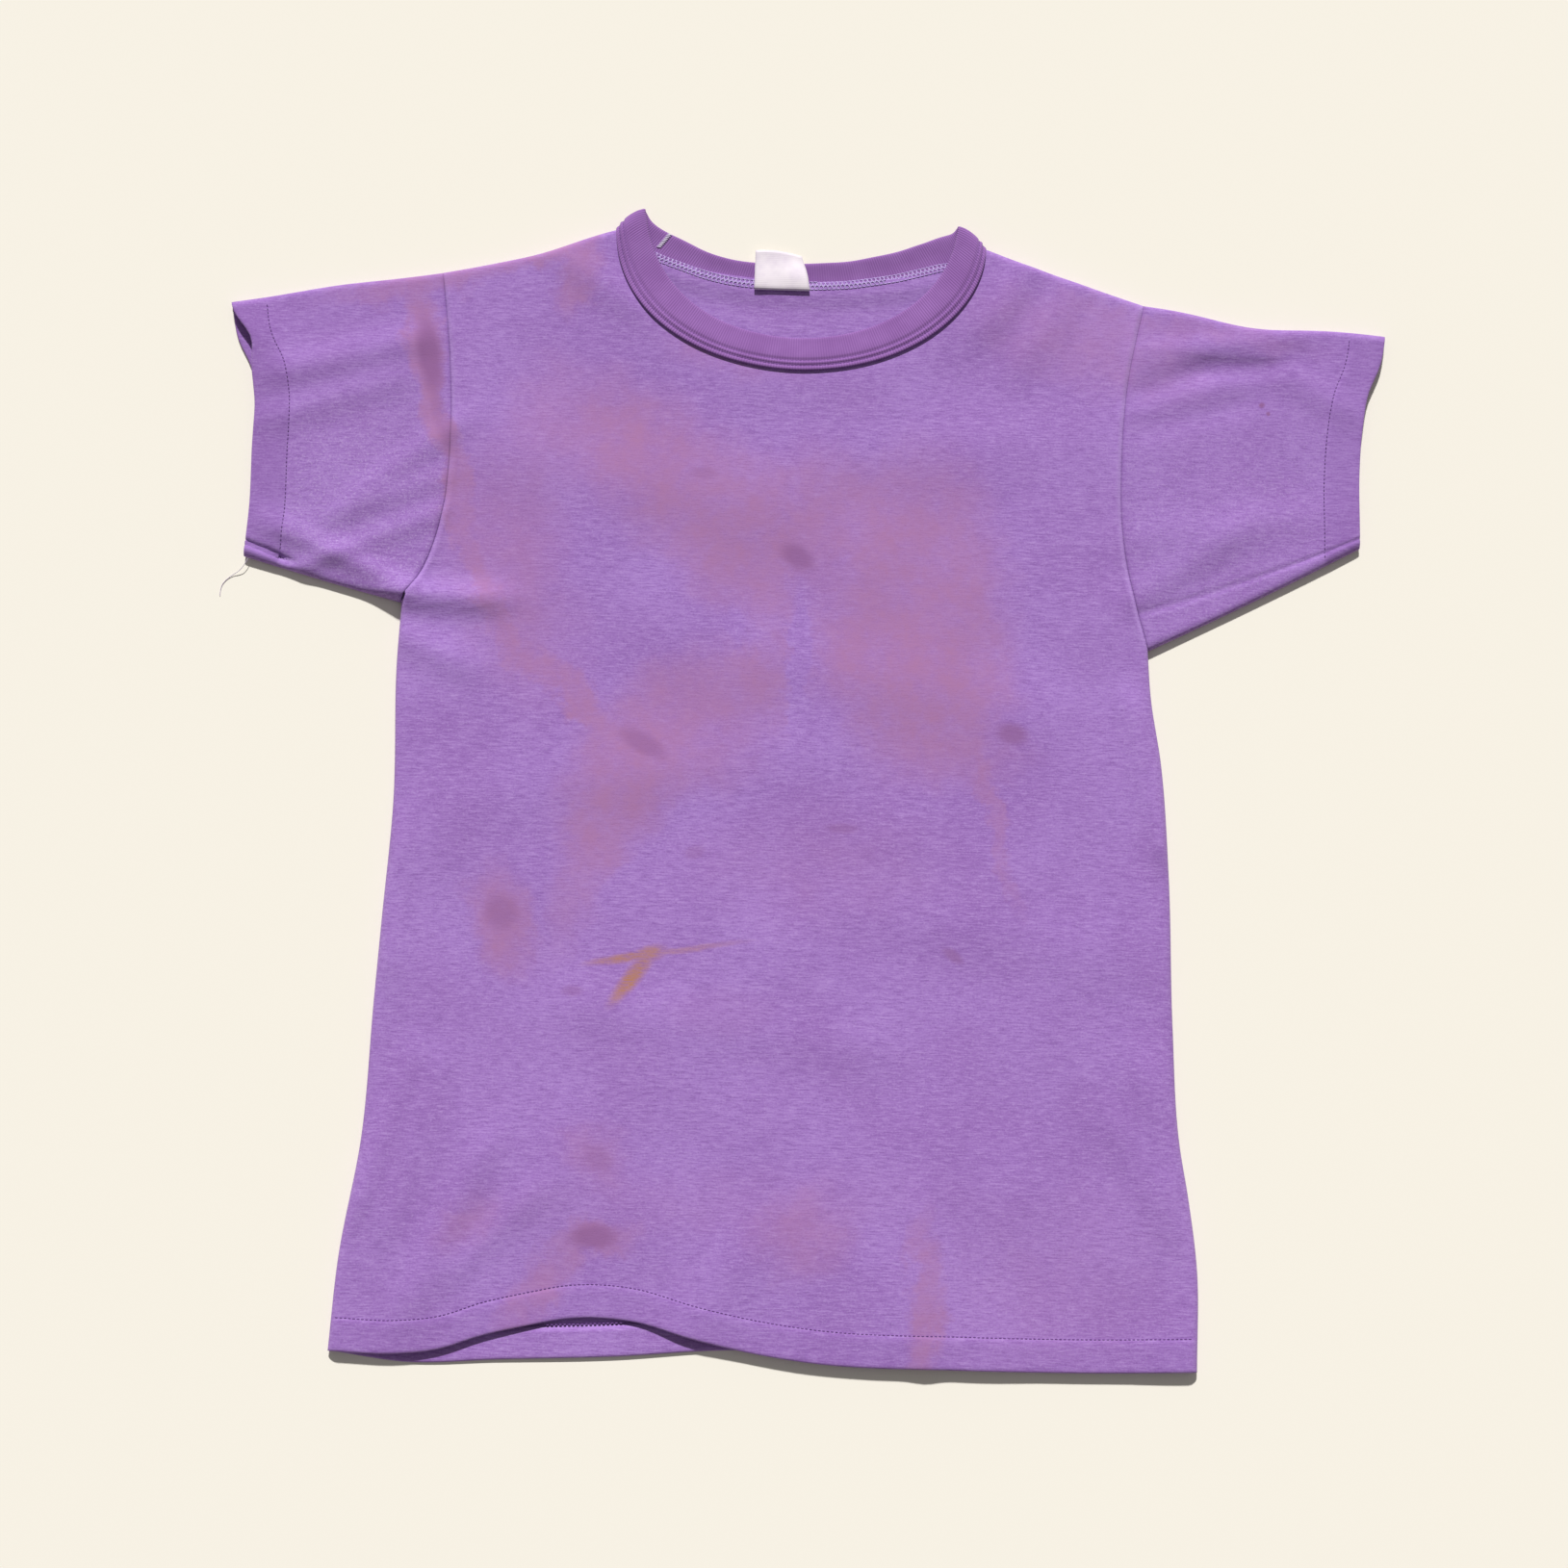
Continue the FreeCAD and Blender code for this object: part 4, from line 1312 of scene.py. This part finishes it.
# overlocked seams inside, and the joined ends of the rib
seam = {
    "width": 5.0,
    "thickness": 1.1,
    "inset": 5.2,                 # from the folded edge to the seam's middle
    "pitch": 3.2,
    "loop": (5.4, 0.5, 0.5),
}


def seamRibbon(name, centre, across, width, thickness):
    # a seam allowance: a flat bead along centre, with across pointing over its width
    along = np.gradient(centre, axis=0)
    across = unit(across)
    normal = unit(np.cross(along, across))
    count = 12
    angle = np.linspace(0, 2 * math.pi, count + 1)
    ring = (centre[:, None] + across[:, None] * np.cos(angle)[None, :, None] * width / 2
            + normal[:, None] * np.sin(angle)[None, :, None] * thickness / 2)
    ribbon = sheetGrid(name, ring)
    ribbon.data.materials.append(jerseyPlain)
    mergeDoubles(ribbon)
    bpy.ops.object.mode_set(mode="EDIT")
    bpy.ops.mesh.select_all(action="DESELECT")
    bpy.ops.mesh.select_non_manifold()
    bpy.ops.mesh.edge_face_add()
    bpy.ops.object.mode_set(mode="OBJECT")
    pointOutwards()
    return ribbon, normal


def overlock(name, centre, across, width):
    ribbon, normal = seamRibbon(name + "Fold", centre, across, width, seam["thickness"])
    places, directions, along = evenly(centre, seam["pitch"])
    sides = unit(carried(centre, along, across))
    ups = unit(carried(centre, along, normal))
    slant = sides + unit(directions) * 0.45
    loops = [ribbon]
    for number, face in enumerate((1, -1)):
        onFace = places + ups * face * seam["thickness"] * 0.42
        loops.append(stitchRow(name + "Loop%d" % number, onFace, slant, ups * face, seam["loop"],
                               purpleThread))
    return joined(name, loops)


def roundTheLayers(x, y, acrossWay):
    # a seam that runs up the inside of the front layer and back down the inside of the back one
    away = outline["cloth"] + seam["thickness"] / 2 + 0.15
    zero = np.zeros_like(x, bool)
    front = np.stack([x, y, np.maximum(layerZ(x, y, zero, True) - away, 3.4)], 1)
    back = np.stack([x, y, np.minimum(layerZ(x, y, zero, False) + away, 2.3)], 1)[::-1]
    centre = np.concatenate([front, back], 0)
    across = np.repeat(np.array([acrossWay], float), len(centre), 0)
    return centre, across


def flatSeam(name, x, y):
    # a seam that lies at the height of the folded edges
    line = np.stack([x, y, np.full_like(x, lie["fold"] + 0.1)], 1)
    across = np.repeat(np.array([[0.0, 1.0, 0.0]]), len(line), 0)
    return overlock(name, line, across, seam["width"])


def makeSeams():
    for name, side in (("right", sleeves[-1]), ("left", sleeves[1])):
        way = side["way"]
        armhole = side["armhole"]
        y = np.linspace(armhole[0][0] + 9, armhole[-1][0] - 9, 70)
        x = curveThrough(armhole, y) - way * 3.4
        centre, across = roundTheLayers(x, y, (-way, 0, 0))
        piece = overlock("armholeSeam" + name.capitalize(), centre, across, seam["width"])
        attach(piece, "shirt")
        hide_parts("armhole_seam_" + name)
        shoulder = outline["shoulders"] if way < 0 else outline["leftShoulder"]
        x = np.linspace(shoulder[0][0], shoulder[-1][0], 50)
        keep = (np.abs(x - side["armhole"][-1][1]) > 12) & (np.abs(x - neckCorner(way)[0]) > 12)
        x = x[keep]
        y = curveThrough(shoulder, x) - seam["inset"]
        piece = flatSeam("shoulderSeam" + name.capitalize(), x, y)
        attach(piece, "shirt")
        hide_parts("shoulder_seam_" + name)
        share = np.linspace(0.06, 0.76, 50)
        x, y = sleevePoint(side, share, np.full_like(share, seam["inset"] / 165))
        piece = flatSeam("underarmSeam" + name.capitalize(), x, y)
        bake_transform(piece)
        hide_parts("underarm_seam_" + name)


def makeRibJoin():
    # a pale overlocked bar across the band, near its right peak
    width = np.linspace(0.52, 1.0, 14)
    centre = ribMiddle(np.full_like(width, 0.182), width, False)
    beside = ribMiddle(np.full_like(width, 0.202), width, False)
    across = unit(beside - centre)
    normal = unit(np.cross(across, np.gradient(centre, axis=0)))
    normal = normal * np.sign(normal[:, 2:3])
    centre = centre + normal * (neck["ribThickness"] / 2 + 0.35)
    places, directions, _ = evenly(centre, stitch["joinPitch"])
    slant = across[:1] + unit(directions) * 0.35
    bar = stitchRow("ribJoin", places, slant, unit(normal.mean(0)), stitch["join"], paleThread)
    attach(bar, "shirt")
    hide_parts("rib_join_seam")


makeSeams()
makeRibJoin()
print("inner seams made")


# a bare white tape, caught in the neck seam and flipped up over the rib
labelLow, labelHigh = boxMm("neck_label")
label = {"thickness": 0.35, "curl": 1.4, "rise": 3.2, "root": 2.2}


def labelPath():
    # side view from the seam, down, round and up: (y, z)
    rootY = labelLow[1] + label["root"]
    r = label["curl"]
    path = [(rootY + 3.0, 2.55), (rootY + 1.2, 2.55), (rootY - 0.4, 2.6)]
    centreY, centreZ = rootY - 0.6, 2.6 + r
    for i in range(1, 9):
        angle = -math.pi / 2 - math.pi * i / 9
        path.append((centreY + r * math.cos(angle), centreZ + r * math.sin(angle)))
    top = centreZ + r
    for share in np.linspace(0.06, 1, 15):
        y = centreY + (labelHigh[1] - centreY) * share
        dropped = float(smooth(share, 0.15, 0.9))
        z = top + 0.4 * math.sin(share * 2.2) - (top - label["rise"]) * dropped
        path.append((y, z))
    return np.array(path)


def makeLabel():
    path = labelPath()
    across = np.linspace(0, 1, 19)
    x = labelLow[0] + (labelHigh[0] - labelLow[0]) * across
    rows = []
    for i, (y, z) in enumerate(path):
        share = i / (len(path) - 1)
        edge = 2 * across - 1
        far = smooth(share, 0.55, 1)
        # the free end narrows to the right, with a lifted left corner and a dropped right one
        yRow = y + far * (0.8 - 1.4 * np.abs(edge) ** 3 - 1.2 * (edge + 1))
        zRow = z + far * (0.9 * np.clip(-edge - 0.5, 0, 1) * 3 + 0.5 * np.sin(across * 5.2))
        zRow = zRow + 0.25 * np.sin(across * 7 + share * 5) * smooth(share, 0.3, 0.6)
        narrow = 5.5 * np.clip(share - 0.3, 0, 1) ** 1.6 / 0.56
        rows.append(np.stack([x - narrow * across**1.4 + 0.4, yRow, zRow], 1))
    points = np.array(rows)
    piece = sheetGrid("labelTape", points)
    piece.data.materials.append(labelMaterial)
    thicken(piece, label["thickness"])
    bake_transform(piece)
    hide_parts("neck_label")
    return piece


def makeLabelStitch():
    low, high = boxMm("label_stitch")
    x = np.linspace(low[0] + 1.5, high[0] - 1.5, 30)
    line = np.stack([x, np.full_like(x, labelLow[1] + 2.2), np.full_like(x, 2.75)], 1)
    places, directions, _ = evenly(line, stitch["pitch"])
    row = stitchRow("labelStitch", places, directions, upward, stitch["hem"], purpleThread)
    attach(row, "shirt")
    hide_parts("label_stitch")


labelTape = makeLabel()
makeLabelStitch()
print("label made")


# the loose thread at the right sleeve's hem; its route is in metres
looseRoute = [
    (-0.3405, 0.1210, 0.0032), (-0.3423, 0.1166, 0.0033), (-0.3456, 0.1126, 0.0019),
    (-0.3502, 0.1099, 0.0005), (-0.3546, 0.1064, 0.0003), (-0.3572, 0.1016, 0.0003),
    (-0.3570, 0.0966, 0.0003),
]


def makeLooseThread():
    curve = bpy.data.curves.new("looseThreadEnd", "CURVE")
    curve.dimensions = "3D"
    spline = curve.splines.new("NURBS")
    spline.points.add(len(looseRoute) - 1)
    for point, place in zip(spline.points, looseRoute):
        point.co = (*place, 1)
    spline.order_u = 3
    spline.use_endpoint_u = True
    curve.bevel_depth = 0.0002
    curve.bevel_resolution = 3
    curve.resolution_u = 12
    curve.use_fill_caps = True
    curve.materials.append(looseMaterial)
    piece = bpy.data.objects.new("looseThreadEnd", curve)
    bpy.context.collection.objects.link(piece)
    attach(piece, "right_sleeve")
    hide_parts("loose_thread")
    return piece


looseThread = makeLooseThread()
